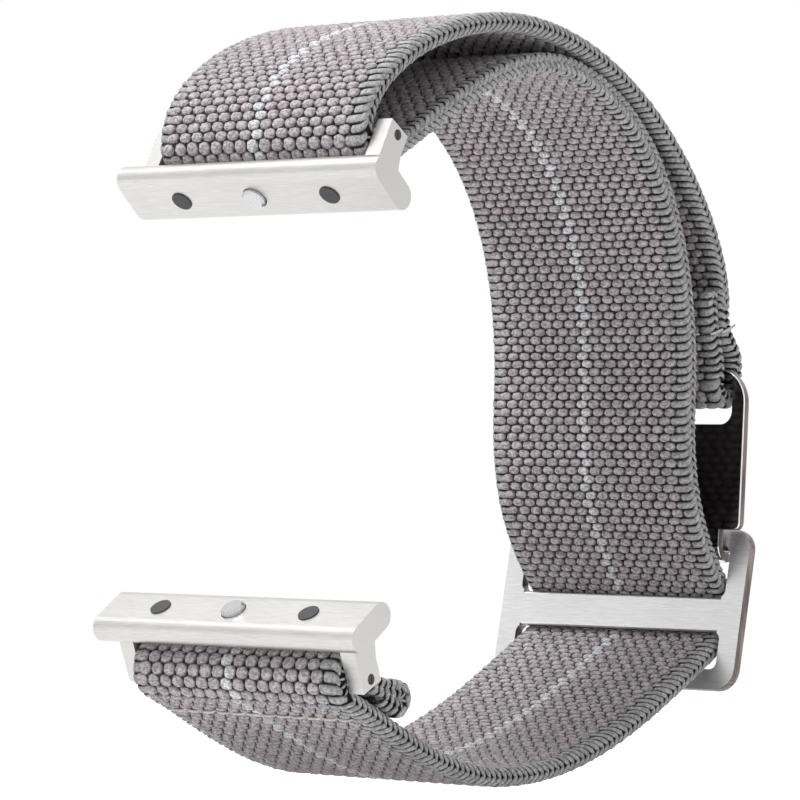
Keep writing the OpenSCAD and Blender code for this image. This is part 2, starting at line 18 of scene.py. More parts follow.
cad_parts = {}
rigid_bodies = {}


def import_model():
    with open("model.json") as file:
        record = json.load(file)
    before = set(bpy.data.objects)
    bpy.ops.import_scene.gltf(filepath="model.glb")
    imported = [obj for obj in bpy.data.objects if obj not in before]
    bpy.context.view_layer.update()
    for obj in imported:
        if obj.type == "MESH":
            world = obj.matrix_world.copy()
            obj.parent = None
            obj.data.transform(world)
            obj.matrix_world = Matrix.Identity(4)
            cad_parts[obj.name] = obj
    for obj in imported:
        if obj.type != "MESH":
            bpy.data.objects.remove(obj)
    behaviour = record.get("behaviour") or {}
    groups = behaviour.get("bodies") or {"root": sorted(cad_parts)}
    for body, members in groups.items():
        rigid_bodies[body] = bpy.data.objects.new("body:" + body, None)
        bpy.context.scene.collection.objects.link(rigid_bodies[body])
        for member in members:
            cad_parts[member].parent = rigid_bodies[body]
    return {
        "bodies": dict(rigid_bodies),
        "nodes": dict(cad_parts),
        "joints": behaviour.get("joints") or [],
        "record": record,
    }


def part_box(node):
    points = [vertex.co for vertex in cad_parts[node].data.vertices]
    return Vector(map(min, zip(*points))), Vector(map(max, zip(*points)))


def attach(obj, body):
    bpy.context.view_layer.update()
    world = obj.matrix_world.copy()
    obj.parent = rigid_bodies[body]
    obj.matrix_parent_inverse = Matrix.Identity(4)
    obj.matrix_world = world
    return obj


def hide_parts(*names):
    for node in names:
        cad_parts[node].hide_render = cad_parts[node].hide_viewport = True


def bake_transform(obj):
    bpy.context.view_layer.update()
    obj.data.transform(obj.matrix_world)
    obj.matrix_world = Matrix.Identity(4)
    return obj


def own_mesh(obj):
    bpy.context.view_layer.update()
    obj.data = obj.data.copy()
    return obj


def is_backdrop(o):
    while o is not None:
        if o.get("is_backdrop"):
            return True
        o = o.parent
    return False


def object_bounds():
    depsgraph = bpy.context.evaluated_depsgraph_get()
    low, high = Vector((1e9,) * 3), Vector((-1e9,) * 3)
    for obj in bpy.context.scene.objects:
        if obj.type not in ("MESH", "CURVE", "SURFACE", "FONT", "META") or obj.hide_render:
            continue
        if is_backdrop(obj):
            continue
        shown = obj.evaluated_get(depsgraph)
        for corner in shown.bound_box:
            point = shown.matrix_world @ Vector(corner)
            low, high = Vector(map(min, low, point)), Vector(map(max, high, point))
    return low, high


log = logging.getLogger("strap")

MM = 0.001
Point = tuple[float, float]
Place = tuple[float, float, float]
Colour = tuple[float, float, float]


class Slot(Enum):
    """The record's material slots."""

    WEBBING = "webbing"
    THREAD = "thread"
    PLATES = "plates"
    CONNECTORS = "connectors"
    SPRING_BARS = "spring_bars"


class Body(Enum):
    """The record's rigid bodies that more than one class names."""

    WEBBING = "webbing"
    SLIDER = "slider"
    HOOK_END = "hook_end"


class End(Enum):
    """The two ends of the wrist loop."""

    UPPER = "upper"
    LOWER = "lower"


class Zone(IntEnum):
    """A plate's zones, in the order of their materials."""

    OUTER = 0
    RIM = 1
    BEVEL = 2
    INNER = 3


class Value:
    """One number in a node tree, on which Python's operators add Math nodes."""

    def __init__(self, graph: "Graph", socket: bpy.types.NodeSocket) -> None:
        """Wraps a socket.

        Args:
            graph: The tree that the socket is in.
            socket: The output that gives the number.
        """
        self.graph = graph
        self.socket = socket

    def math(self, operation: str, first: Any, second: Any = None) -> "Value":
        """Adds one Math node.

        Args:
            operation: The Math node's operation.
            first: Its first value or link.
            second: Its second value or link, if it has one.

        Returns:
            The node's result.
        """
        inputs = {0: first} if second is None else {0: first, 1: second}
        return self.graph.value("ShaderNodeMath", {"operation": operation}, inputs)

    def __add__(self, other: Any) -> "Value":
        """Returns self + other."""
        return self.math("ADD", self, other)

    def __radd__(self, other: Any) -> "Value":
        """Returns other + self."""
        return self.math("ADD", other, self)

    def __sub__(self, other: Any) -> "Value":
        """Returns self - other."""
        return self.math("SUBTRACT", self, other)

    def __rsub__(self, other: Any) -> "Value":
        """Returns other - self."""
        return self.math("SUBTRACT", other, self)

    def __mul__(self, other: Any) -> "Value":
        """Returns self * other."""
        return self.math("MULTIPLY", self, other)

    def __rmul__(self, other: Any) -> "Value":
        """Returns other * self."""
        return self.math("MULTIPLY", other, self)

    def __neg__(self) -> "Value":
        """Returns -self."""
        return self.math("MULTIPLY", self, -1.0)

    def above(self, limit: Any) -> "Value":
        """Returns 1 where self is above the limit, and 0 elsewhere."""
        return self.math("GREATER_THAN", self, limit)

    def most(self, other: Any) -> "Value":
        """Returns the larger of self and other."""
        return self.math("MAXIMUM", self, other)

    def steps(self, low: float, high: float) -> "Value":
        """Returns 0 below low and 1 above high, with a smooth rise between."""
        return self.graph.value(
            "ShaderNodeMapRange", {"interpolation_type": "SMOOTHSTEP"}, {0: self, 1: low, 2: high}
        )


class Graph:
    """A node tree that is written as Python expressions."""

    def __init__(self, tree: bpy.types.NodeTree) -> None:
        """Wraps a tree.

        Args:
            tree: A shader or geometry node tree.
        """
        self.tree = tree

    def node(
        self,
        kind: str,
        settings: Optional[dict[str, Any]] = None,
        inputs: Optional[dict[Union[str, int], Any]] = None,
    ) -> bpy.types.Node:
        """Adds one node.

        Args:
            kind: The node's type.
            settings: Its settings, which are set first.
            inputs: The value or link of each socket, by name or number.

        Returns:
            The new node.
        """
        node = self.tree.nodes.new(kind)
        for key, value in (settings or {}).items():
            setattr(node, key, value)
        for key, value in (inputs or {}).items():
            for one in value if isinstance(value, list) else [value]:
                if isinstance(one, Value):
                    one = one.socket
                if isinstance(one, bpy.types.NodeSocket):
                    self.tree.links.new(one, node.inputs[key])
                else:
                    node.inputs[key].default_value = one
        return node

    def value(
        self,
        kind: str,
        settings: Optional[dict[str, Any]] = None,
        inputs: Optional[dict[Union[str, int], Any]] = None,
        output: Union[str, int] = 0,
    ) -> Value:
        """Adds one node and gives one of its outputs as a Value."""
        return Value(self, self.node(kind, settings, inputs).outputs[output])


class Shader(Graph):
    """A material's node tree."""

    def __init__(self, name: str) -> None:
        """Makes an empty material.

        Args:
            name: The material's name.
        """
        self.material = bpy.data.materials.new(name)
        self.material.use_nodes = True
        super().__init__(self.material.node_tree)
        self.tree.nodes.clear()
        self.place = self.node("ShaderNodeTexCoord").outputs["Object"]

    def attribute(self, name: str) -> Value:
        """Gives a number that the mesh carries under that name."""
        return self.value(
            "ShaderNodeAttribute", {"attribute_type": "GEOMETRY", "attribute_name": name}, {}, "Fac"
        )

    def noise(
        self, per_mm: float, stretch: tuple[float, float, float] = (1.0, 1.0, 1.0), detail: float = 2.0
    ) -> Value:
        """Adds a noise on Object coordinates.

        Args:
            per_mm: Features in each millimetre.
            stretch: How much finer it is along each axis.
            detail: Octaves.

        Returns:
            The noise, from 0 to 1.
        """
        place = self.node("ShaderNodeMapping", {}, {"Vector": self.place, "Scale": stretch})
        return self.value(
            "ShaderNodeTexNoise",
            {},
            {"Vector": place.outputs[0], "Scale": per_mm / MM, "Detail": detail},
            "Fac",
        )

    def mix(self, factor: Any, first: Any, second: Any, blend: str = "MIX") -> bpy.types.NodeSocket:
        """Mixes two colours.

        Args:
            factor: How much of the second there is.
            first: The first colour or link.
            second: The second colour or link.
            blend: The Mix node's blend type.

        Returns:
            The mixed colour's socket.
        """
        inputs = {0: factor, 6: self.full(first), 7: self.full(second)}
        settings = {"data_type": "RGBA", "blend_type": blend}
        return self.node("ShaderNodeMix", settings, inputs).outputs[2]

    @staticmethod
    def full(colour: Any) -> Any:
        """Adds alpha to a plain colour and leaves a link as it is."""
        return (*colour, 1.0) if isinstance(colour, tuple) else colour

    def bump(self, height: Value, strength: float, depth_mm: float) -> bpy.types.NodeSocket:
        """Adds a Bump node.

        Args:
            height: The height, from 0 to 1.
            strength: The node's strength.
            depth_mm: The height of 1 in millimetres.

        Returns:
            The bumped normal's socket.
        """
        inputs = {"Strength": strength, "Distance": depth_mm * MM, "Height": height}
        return self.node("ShaderNodeBump", {}, inputs).outputs[0]

    def surface(self, **inputs: Any) -> bpy.types.Material:
        """Ends the tree in a Principled BSDF.

        Args:
            **inputs: Its sockets, with an underscore for each space in a name.

        Returns:
            The finished material.
        """
        named = {key.replace("_", " "): self.full(value) for key, value in inputs.items()}
        shader = self.node("ShaderNodeBsdfPrincipled", {}, named)
        self.node("ShaderNodeOutputMaterial", {}, {"Surface": shader.outputs[0]})
        return self.material


@dataclass(frozen=True)
class WovenFinish:
    """Heathered yarn: knots of two tones with fine flecks, with painted shade where they sink into a gap and
    painted glints at their tips.
    """

    name: str
    warm: Colour = (0.495, 0.422, 0.45)
    cool: Colour = (0.46, 0.441, 0.455)
    pale: Colour = (0.68, 0.68, 0.71)
    # Painted highlight: the colour of the glints
    glint: Colour = (0.80, 0.75, 0.74)
    # Painted shade: the colour a knot takes where it sinks into a gap
    gap: Colour = (0.030, 0.024, 0.024)
    fleck: float = 0.75
    rough: float = 0.88

    def material(self) -> bpy.types.Material:
        """Builds the material from the knots' tone, light, tip and crown attributes; crown sets the painted
        gap shade and tip the painted glints.
        """
        shader = Shader(self.name)
        drift = shader.noise(0.3).steps(0.38, 0.62)
        yarn = shader.mix(shader.attribute("tone") * 0.6 + drift * 0.4, self.warm, self.cool)
        yarn = shader.mix(shader.attribute("light"), yarn, self.pale)
        speckle = shader.noise(3.6, detail=3.0)
        fibre = shader.noise(8.0, (0.3, 1.0, 1.0), 2.0)
        grain = (speckle * 0.6 + fibre * 0.4).steps(0.4, 0.6)
        yarn = shader.mix(1.0, yarn, 1.0 - self.fleck * 0.5 + self.fleck * grain, "MULTIPLY")
        # Painted highlight: pale glints in noise spots, strongest at the knots' tips
        spark = shader.noise(2.7, detail=2.0).steps(0.56, 0.68)
        yarn = shader.mix((0.35 + shader.attribute("tip") * 0.6) * spark, yarn, self.glint)
        # Painted shade: low crowns, at the knots' feet, take the gap colour
        colour = shader.mix(shader.attribute("crown").steps(0.18, 0.88), self.gap, yarn)
        return shader.surface(
            Base_Color=colour,
            Roughness=self.rough,
            Specular_IOR_Level=0.25,
            Sheen_Weight=0.12,
            Sheen_Roughness=0.5,
            Normal=shader.bump(speckle * 0.5 + fibre * 0.5, 0.8, 0.12),
        )


@dataclass(frozen=True)
class SteelFinish:
    """Steel with a grain along one axis, or satin where the grain is even."""

    name: str
    colour: Colour = (0.72, 0.72, 0.73)
    rough: float = 0.3
    spread: float = 0.12
    grain: tuple[float, float, float] = (0.02, 1.0, 1.0)
    per_mm: float = 14.0
    depth_mm: float = 0.004
    contrast: float = 0.12

    def material(self) -> bpy.types.Material:
        """Builds the material: streaks in its roughness, its brightness and its normal."""
        shader = Shader(self.name)
        streak = shader.noise(self.per_mm, self.grain, 3.0)
        cloud = shader.noise(0.16, detail=2.0)
        bright = 1.0 + (streak.steps(0.3, 0.7) - 0.5) * self.contrast + (cloud - 0.5) * 0.1
        return shader.surface(
            Base_Color=shader.mix(1.0, self.colour, bright, "MULTIPLY"),
            Metallic=1.0,
            Roughness=self.rough - self.spread / 2 + self.spread * streak,
            Normal=shader.bump(streak, 0.35, self.depth_mm),
        )


@dataclass(frozen=True)
class RubberFinish:
    """Dull moulded rubber."""

    name: str
    colour: Colour = (0.06, 0.06, 0.065)

    def material(self) -> bpy.types.Material:
        """Builds the material."""
        shader = Shader(self.name)
        grain = shader.noise(6.0, detail=3.0)
        return shader.surface(
            Base_Color=shader.mix(1.0, self.colour, 0.85 + grain * 0.3, "MULTIPLY"),
            Roughness=0.62 + grain * 0.12,
            Normal=shader.bump(grain, 0.3, 0.02),
        )


@dataclass
class BandShape:
    """The band's middle line as [behind, up] points in millimetres, as the solids have it."""

    bar_z: float = 22.0
    web_w: float = 22.0
    web_t: float = 1.8
    layer_step: float = 1.86
    loop_r: float = 1.75
    hook_y: float = 51.674
    hook_top_z: float = 7.456
    fold_r: float = 1.4
    fold_z: float = 6.056
    slider_c: Point = (51.9, -15.0)
    slider_lean: float = 8.8
    bend_r: float = 1.25
    bend_w: float = 0.2
    bend_s: float = 1.3
    enter_a: float = 35.0
    leave_a: float = 40.0
    upper_front_a: float = 180.0
    upper_back_a: float = 295.0
    lower_run_a: float = 252.0
    lower_fold_a: float = 32.0
    fold_end_a: float = -4.0
    inner_crest_back: float = 24.0
    inner_rise: float = 9.4
    outer_crest_back: float = 20.0
    crest_gap: float = 0.84
    rear: Point = (45.9, 4.0)
    rear_lean: float = 0.7
    low_back: float = 20.0
    lower_drop: float = 7.8
    outer_top_in: float = 1.1
    outer_top_rise: float = 5.7
    outer_lean: float = 2.9
    inner_leg_in: float = 3.05
    inner_leg_rise: float = 6.7
    inner_leg_under: float = 1.0
    leg_over: float = 0.1
    lead_split: float = 0.4
    knee_share: float = 0.5
    press_share: float = 0.83
    hem_r: float = 1.65
    hem_share: float = 0.67
    hem_tail: float = 2.2
    slope_step: float = 0.002
    reaches: dict[str, tuple[float, float]] = field(
        default_factory=lambda: {
            "inner_front": (5.5, 8.5),
            "inner_back": (11.5, 18.0),
            "inner_lead": (9.0, 5.5),
            "lower_lead": (12.0, 13.0),
            "lower_front": (8.0, 5.0),
            "lower_fold": (2.2, 1.6),
            "inner_leg": (4.0, 2.8),
            "outer_leg": (2.4, 3.9),
            "outer_back": (7.0, 17.5),
            "outer_front": (9.5, 6.5),
        }
    )
    curves: dict[str, list[Vector]] = field(init=False)
    run_way: Vector = field(init=False)
    hem_c: Vector = field(init=False)

    def __post_init__(self) -> None:
        """Works out the curves that the stretches are cut from."""
        slider_up, slider_out = self.slider_axes
        centre = Vector(self.slider_c)
        enter, leave = math.radians(self.enter_a), math.radians(self.leave_a)
        back, fore, rise = Vector((-1, 0)), Vector((1, 0)), Vector((0, 1))
        upper, lower = Vector((0, self.bar_z)), Vector((0, -self.bar_z))
        inner_crest = Vector((self.inner_crest_back, self.bar_z + self.inner_rise))
        outer_crest = Vector(
            (self.outer_crest_back, self.bar_z + self.inner_rise + self.layer_step + self.crest_gap)
        )
        rear, rear_dir = Vector(self.rear), self.heading(self.rear_lean - 90)
        low = Vector((self.low_back, -self.bar_z - self.lower_drop))
        bend_top = (
            centre
            + (self.bend_w + self.bend_r * math.sin(enter)) * slider_out
            + (self.bend_s + self.bend_r * math.cos(enter)) * slider_up
        )
        bend_low = (
            centre
            + (self.bend_w + self.bend_r * math.sin(leave)) * slider_out
            - (self.bend_s + self.bend_r * math.cos(leave)) * slider_up
        )
        enter_dir = math.cos(enter) * slider_out - math.sin(enter) * slider_up
        leave_dir = -math.cos(leave) * slider_out - math.sin(leave) * slider_up
        top = Vector((self.hook_y - self.outer_top_in, self.hook_top_z + self.outer_top_rise))
        top_dir = self.heading(90 + self.outer_lean)
        inner_leg_end = Vector((self.hook_y - self.inner_leg_in, self.hook_top_z + self.inner_leg_rise))
        inner_leg_low = Vector((self.hook_y - self.fold_r, self.hook_top_z - self.inner_leg_under))
        outer_leg_low = Vector((self.hook_y + self.fold_r, self.hook_top_z + self.leg_over))
        inner_start, inner_dir = self.on_ring(upper, self.upper_back_a), self.heading(self.upper_back_a + 90)
        outer_end, outer_dir = self.on_ring(upper, self.upper_front_a), self.heading(self.upper_front_a + 90)
        run_end, run_dir = self.on_ring(lower, self.lower_run_a), self.heading(self.lower_run_a - 90)
        places = {
            "inner_front": (inner_start, inner_dir, inner_crest, fore),
            "inner_back": (inner_crest, fore, rear, rear_dir),
            "inner_lead": (rear, rear_dir, bend_top, enter_dir),
            "lower_lead": (bend_low, leave_dir, low, back),
            "lower_front": (low, back, run_end, run_dir),
            "inner_leg": (inner_leg_end, -rise, inner_leg_low, -rise),
            "outer_leg": (outer_leg_low, rise, top, top_dir),
            "outer_back": (top, top_dir, outer_crest, back),
            "outer_front": (outer_crest, back, outer_end, outer_dir),
        }
        self.curves = {name: self.span(*place, *self.reaches[name]) for name, place in places.items()}
        run = self.curves["lower_front"]
        self.run_way = self.slope(run, self.hem_share)
        self.hem_c = self.bez(run, self.hem_share)
        self.hem_c -= (self.layer_step - self.web_t / 2 + self.hem_r) * self.left(self.run_way)
        end_dir = self.heading(self.fold_end_a)
        self.curves["lower_fold"] = self.span(
            self.on_ring(lower, self.lower_fold_a),
            self.heading(self.lower_fold_a - 90),
            self.hem_c + self.hem_bend_r * self.left(end_dir),
            end_dir,
            *self.reaches["lower_fold"],
        )

    @property
    def slider_axes(self) -> tuple[Vector, Vector]:
        """The slider plate's own axes: up along the plate, and outwards."""
        lean = math.radians(self.slider_lean)
        up = Vector((math.sin(lean), math.cos(lean)))
        return up, Vector((up.y, -up.x))

    @property
    def hem_bend_r(self) -> float:
        """Radius of the middle line where the cut end is tucked under."""
        return self.hem_r - self.web_t / 2

    @staticmethod
    def heading(degrees: float) -> Vector:
        """Gives the unit vector at that angle from straight back."""
        return Vector((math.cos(math.radians(degrees)), math.sin(math.radians(degrees))))

    def on_ring(self, bar: Vector, degrees: float) -> Vector:
        """Gives the point of the webbing's loop round a spring bar at that angle."""
        return bar + self.loop_r * self.heading(degrees)

    @staticmethod
    def left(way: Vector) -> Vector:
        """Gives the way turned a quarter to the left."""
        return Vector((-way.y, way.x))

    @staticmethod
    def span(
        start: Vector, start_dir: Vector, end: Vector, end_dir: Vector, grip: float, hold: float
    ) -> list[Vector]:
        """Gives a curve's four points from its ends, their headings and the handles' lengths."""
        return [start, start + grip * start_dir, end - hold * end_dir, end]

    @staticmethod
    def bez(curve: Sequence[Vector], t: float) -> Vector:
        """Gives the point at share t of a curve."""
        a, b, c, d = curve
        u = 1 - t
        return u**3 * a + 3 * u * u * t * b + 3 * u * t * t * c + t**3 * d

    def slope(self, curve: Sequence[Vector], t: float) -> Vector:
        """Gives a curve's heading at share t."""
        before, after = max(t - self.slope_step, 0), min(t + self.slope_step, 1)
        return (self.bez(curve, after) - self.bez(curve, before)).normalized()

    def trace(self, name: str, start: float, end: float, steps: int = 60) -> list[Vector]:
        """Gives points along a curve from one share to another."""
        return [self.bez(self.curves[name], start + (end - start) * i / steps) for i in range(steps + 1)]

    def arc(self, centre: Point, r: float, start: float, end: float, steps: int = 40) -> list[Vector]:
        """Gives points along an arc from one angle to another, in degrees."""
        middle = Vector(centre)
        return [middle + r * self.heading(start + (end - start) * i / steps) for i in range(steps + 1)]

    def stretches(self) -> dict[str, list[Vector]]:
        """Traces the stretches, from the sewn lower end of the band to its hook end.

        Returns:
            Each stretch's middle line by its name.
        """
        up, out = self.slider_axes
        centre = Vector(self.slider_c)
        above = centre + self.bend_w * out + self.bend_s * up
        below = centre + self.bend_w * out - self.bend_s * up
        under_way = self.left(self.run_way)
        under = self.hem_c + self.hem_bend_r * under_way
        under_a = math.degrees(math.atan2(under_way.y, under_way.x))
        return {
            "webbing_lower_fold": [under + self.hem_tail * self.run_way, under]
            + self.arc(tuple(self.hem_c), self.hem_bend_r, under_a, 90 + self.fold_end_a)
            + self.trace("lower_fold", 1, 0)
            + self.arc((0, -self.bar_z), self.loop_r, self.lower_fold_a, self.lower_run_a, 120),
            "webbing_lower_run": self.trace("lower_front", 1, 0)
            + self.trace("lower_lead", 1, self.lead_split),
            "webbing_lower_lead": self.trace("lower_lead", self.lead_split, 0),
            "webbing_slider_bend": self.arc(
                tuple(below), self.bend_r, -90 + self.leave_a - self.slider_lean, -self.slider_lean
            )
            + self.arc(tuple(above), self.bend_r, -self.slider_lean, 90 - self.enter_a - self.slider_lean),
            "webbing_inner_lead_foot": self.trace("inner_lead", 1, self.press_share),
            "webbing_inner_lead_knee": self.trace("inner_lead", self.press_share, self.knee_share),
            "webbing_inner_lead": self.trace("inner_lead", self.knee_share, 0),
            "webbing_inner_run": self.trace("inner_back", 1, 0) + self.trace("inner_front", 1, 0),
            "webbing_upper_loop": self.arc(
                (0, self.bar_z), self.loop_r, self.upper_back_a, self.upper_front_a, 80
            ),
            "webbing_outer_run": self.trace("outer_front", 1, 0)
            + self.trace("outer_back", 1, self.lead_split),
            "webbing_outer_lead": self.trace("outer_back", self.lead_split, 0),
            "webbing_hook_fold": self.trace("outer_leg", 1, 0)
            + self.arc((self.hook_y, self.fold_z), self.fold_r, 0, -180, 80)
            + self.trace("inner_leg", 1, 0),
        }


@dataclass
class Row:
    """One woven row across the band: its place, the band's heading and its bend there."""

    at: Vector
    way: Vector
    bend: float
    number: int

    @property
    def turn(self) -> float:
        """The heading as a turn about X."""
        return math.atan2(self.way.y, self.way.x)


class BandLine:
    """The whole band's middle line, cut into woven rows of one pitch."""

    SAME_POINT = 1e-4
    RIB_SHARE = 0.6
    REACH = 0.3
    END_MARGIN = 0.05
    LEAST = 1e-9

    def __init__(self, shape: BandShape, pitch: float) -> None:
        """Measures the stretches end to end.

        Args:
            shape: The band's shape.
            pitch: Distance between two rows, in millimetres.
        """
        self.rows: dict[str, list[Row]] = {}
        self.ribs: dict[str, list[Row]] = {}
        self.length = 0.0
        for name, raw in shape.stretches().items():
            points = [p for i, p in enumerate(raw) if i == 0 or (p - raw[i - 1]).length > self.SAME_POINT]
            start = self.length
            marks = [start]
            for a, b in zip(points, points[1:]):
                marks.append(marks[-1] + (b - a).length)
            self.length = marks[-1]
            first = math.ceil(start / pitch - 0.5)
            last = math.ceil(self.length / pitch - 0.5)
            self.rows[name] = [self.row(points, marks, (k + 0.5) * pitch, k) for k in range(first, last)]
            count = max(2, round((self.length - start) / (pitch * self.RIB_SHARE)))
            self.ribs[name] = [
                self.row(points, marks, start + (self.length - start) * i / count, i)
                for i in range(count + 1)
            ]

    @classmethod
    def row(cls, points: Sequence[Vector], marks: Sequence[float], mark: float, number: int) -> Row:
        """Gives the row at one distance along the band.

        Args:
            points: A stretch's points.
            marks: Each point's distance along the band.
            mark: The row's distance.
            number: The row's number.

        Returns:
            The row, with its heading and bend taken over a short piece of the line.
        """

        def at(distance: float) -> Vector:
            """Gives the point at one distance along the band."""
            distance = min(max(distance, marks[0]), marks[-1])
            i = 0
            while i < len(marks) - 2 and marks[i + 1] < distance:
                i += 1
            share = (distance - marks[i]) / max(marks[i + 1] - marks[i], cls.LEAST)
            return points[i].lerp(points[i + 1], share)

        here, reach = at(mark), cls.REACH
        far_from_start, far_from_end = mark - marks[0] > cls.END_MARGIN, marks[-1] - mark > cls.END_MARGIN
        before = here - at(mark - reach) if far_from_start else at(mark + reach) - here
        after = at(mark + reach) - here if far_from_end else before
        way = (before.normalized() + after.normalized()).normalized()
        bend = before.angle_signed(after, 0.0) if before.length and after.length else 0.0
        return Row(here, way, -bend / reach, number)


def link(name: str, mesh: bpy.types.Mesh) -> bpy.types.Object:
    """Puts a mesh into the scene as an object at the origin."""
    piece = bpy.data.objects.new(name, mesh)
    bpy.context.scene.collection.objects.link(piece)
    return piece


def finished_mesh(piece: bpy.types.Object) -> bpy.types.Mesh:
    """Gives a plain mesh of an object with its modifiers or its curve evaluated."""
    graph = bpy.context.evaluated_depsgraph_get()
    return bpy.data.meshes.new_from_object(piece.evaluated_get(graph), depsgraph=graph)


def smooth(mesh: bpy.types.Mesh, degrees: float = 180.0) -> None:
    """Shades a mesh smooth.

    Args:
        mesh: The mesh.
        degrees: The angle above which its edges stay sharp.
    """
    mesh.shade_smooth()
    if degrees < 180.0:
        mesh.set_sharp_from_angle(angle=math.radians(degrees))


def turns_round(sides: int) -> list[float]:
    """Gives the angles of equally many points round a circle."""
    return [2 * math.pi * k / sides for k in range(sides)]


def ringed_mesh(
    name: str, rings: Sequence[Sequence[Vector]], numbers: dict[str, Sequence[Sequence[float]]]
) -> bpy.types.Mesh:
    """Joins rings of points into a closed skin that carries numbers for its material.

    Args:
        name: The mesh's name.
        rings: Rings of equally many points, in metres.
        numbers: Each attribute's value at each point of each ring.

    Returns:
        The mesh.
    """
    sides = len(rings[0])
    verts = [p for ring in rings for p in ring]
    faces = [
        [i * sides + k, i * sides + (k + 1) % sides, (i + 1) * sides + (k + 1) % sides, (i + 1) * sides + k]
        for i in range(len(rings) - 1)
        for k in range(sides)
    ]
    faces.append(list(range(sides))[::-1])
    faces.append([(len(rings) - 1) * sides + k for k in range(sides)])
    mesh = bpy.data.meshes.new(name)
    mesh.from_pydata([tuple(v) for v in verts], [], faces)
    shape = bmesh.new()
    shape.from_mesh(mesh)
    bmesh.ops.recalc_face_normals(shape, faces=shape.faces)
    shape.to_mesh(mesh)
    shape.free()
    for key, values in numbers.items():
        layer = mesh.attributes.new(key, "FLOAT", "POINT")
        layer.data.foreach_set("value", [value for ring in values for value in ring])
    smooth(mesh)
    return mesh


@dataclass
class Knot:
    """One woven knot that stands on the band's face: a rounded hexagon, long across the band."""

    half_w: float = 0.695
    half_l: float = 0.405
    foot: float = 0.44
    shoulder: float = 0.62
    top: float = 0.88
    brow_drop: float = 0.06
    tip_from: float = 0.6

    def mesh(self) -> bpy.types.Mesh:
        """Builds the knot above its place on the band's middle line.

        Returns:
            The knot's mesh, which carries its crown, for its painted shade, and its tips, for its painted
            glints.
        """
        # Half of the outline in shares of the half width and the half length, then the other half
        outline = [(1, 0.16), (0.68, 0.86), (-0.02, 1.0), (-0.72, 0.8)]
        outline += [(-x, -y) for x, y in outline]
        # Each level's scale, height and crown; the crown sets how much painted gap shade the level gets, none
        # at 1
        levels = [
            (1.0, self.foot, 0.0),
            (0.95, self.shoulder, 0.4),
            (0.74, self.top - self.brow_drop, 0.9),
            (0.32, self.top, 1.0),
        ]
        rings, crowns, tips = [], [], []
        for scale, height, crown in levels:
            rings.append(
                [Vector((x * self.half_w * scale, y * self.half_l * scale, height)) * MM for x, y in outline]
            )
            crowns.append([crown] * len(outline))
            tips.append([max(0.0, abs(x) * scale - self.tip_from) / (1 - self.tip_from) for x, _ in outline])
        return ringed_mesh("knot", rings, {"crown": crowns, "tip": tips})


@dataclass
class Wrap:
    """One wrap of edge yarn: it lies on the face, turns over the edge and slants to its middle."""

    slant: float
    half_w: float = 0.34
    half_h: float = 0.19
    crown: Point = (0.14, 0.86)
    sides: int = 7

    def mesh(self) -> bpy.types.Mesh:
        """Builds the wrap with the band's edge at x = 0 and its middle line at z = 0.

        Returns:
            The wrap's mesh, which carries its crown, for painted shade on its underside.
        """
        # Across, along the slant, up, the outward X and Z there, and the girth
        route = [
            (-1.42, -0.08, 0.5, 0, 1, 0.5),
            (-1.15, -0.05, 0.66, 0, 1, 0.96),
            (-0.62, -0.02, 0.69, 0, 1, 1.0),
            (-0.3, 0.02, 0.66, 0.4, 1, 0.98),
            (-0.16, 0.14, 0.54, 1, 0.7, 0.86),
            (-0.1, 0.38, 0.36, 1, 0.25, 0.78),
            (-0.08, 0.68, 0.16, 1, 0.05, 0.74),
            (-0.16, 0.95, -0.04, 1, 0, 0.45),
        ]
        centres = [Vector((x, self.slant * y, z)) for x, y, z, _, _, _ in route]
        rings, crowns = [], []
        turns = turns_round(self.sides)
        base, rise = self.crown
        for i, (_, _, _, nx, nz, girth) in enumerate(route):
            along = (centres[min(i + 1, len(route) - 1)] - centres[max(i - 1, 0)]).normalized()
            out = Vector((nx, 0, nz)).normalized()
            side = along.cross(out).normalized()
            out = side.cross(along).normalized()
            skin = [self.half_w * math.cos(a) * side + self.half_h * math.sin(a) * out for a in turns]
            rings.append([(centres[i] + girth * offset) * MM for offset in skin])
            # Painted shade: the crown is lowest on the side that lies against the band
            crowns.append([max(0.0, base + rise * math.sin(a)) for a in turns])
        return ringed_mesh("wrap", rings, {"crown": crowns})


@dataclass
class Lump:
    """One bulge of the thick yarn at a cut end, long through the band's thickness."""

    radii: tuple[float, float, float] = (0.74, 0.42, 0.8)
    levels: int = 7
    sides: int = 12
    ridges: int = 3
    ridge_share: float = 0.07
    crown: Point = (0.55, 0.45)

    def mesh(self) -> bpy.types.Mesh:
        """Builds the lump round its own middle, with a few yarn ridges round it.

        Returns:
            The lump's mesh, which carries its crown, for painted shade in bands round it.
        """
        rings, crowns = [], []
        turns = turns_round(self.sides)
        base, rise = self.crown
        x, y, z = self.radii
        for i in range(self.levels):
            fall = math.pi * (i + 0.5) / self.levels
            ring = []
            for a in turns:
                r = math.sin(fall) * (1 + self.ridge_share * math.cos(self.ridges * a + 2 * fall))
                ring.append(Vector((x * r * math.cos(a), y * r * math.sin(a), z * math.cos(fall))) * MM)
            rings.append(ring)
            # Painted shade: the crown dips in bands round the lump
            crowns.append([base + rise * abs(math.cos(self.ridges * a / 2)) for a in turns])
        return ringed_mesh("lump", rings, {"crown": crowns})


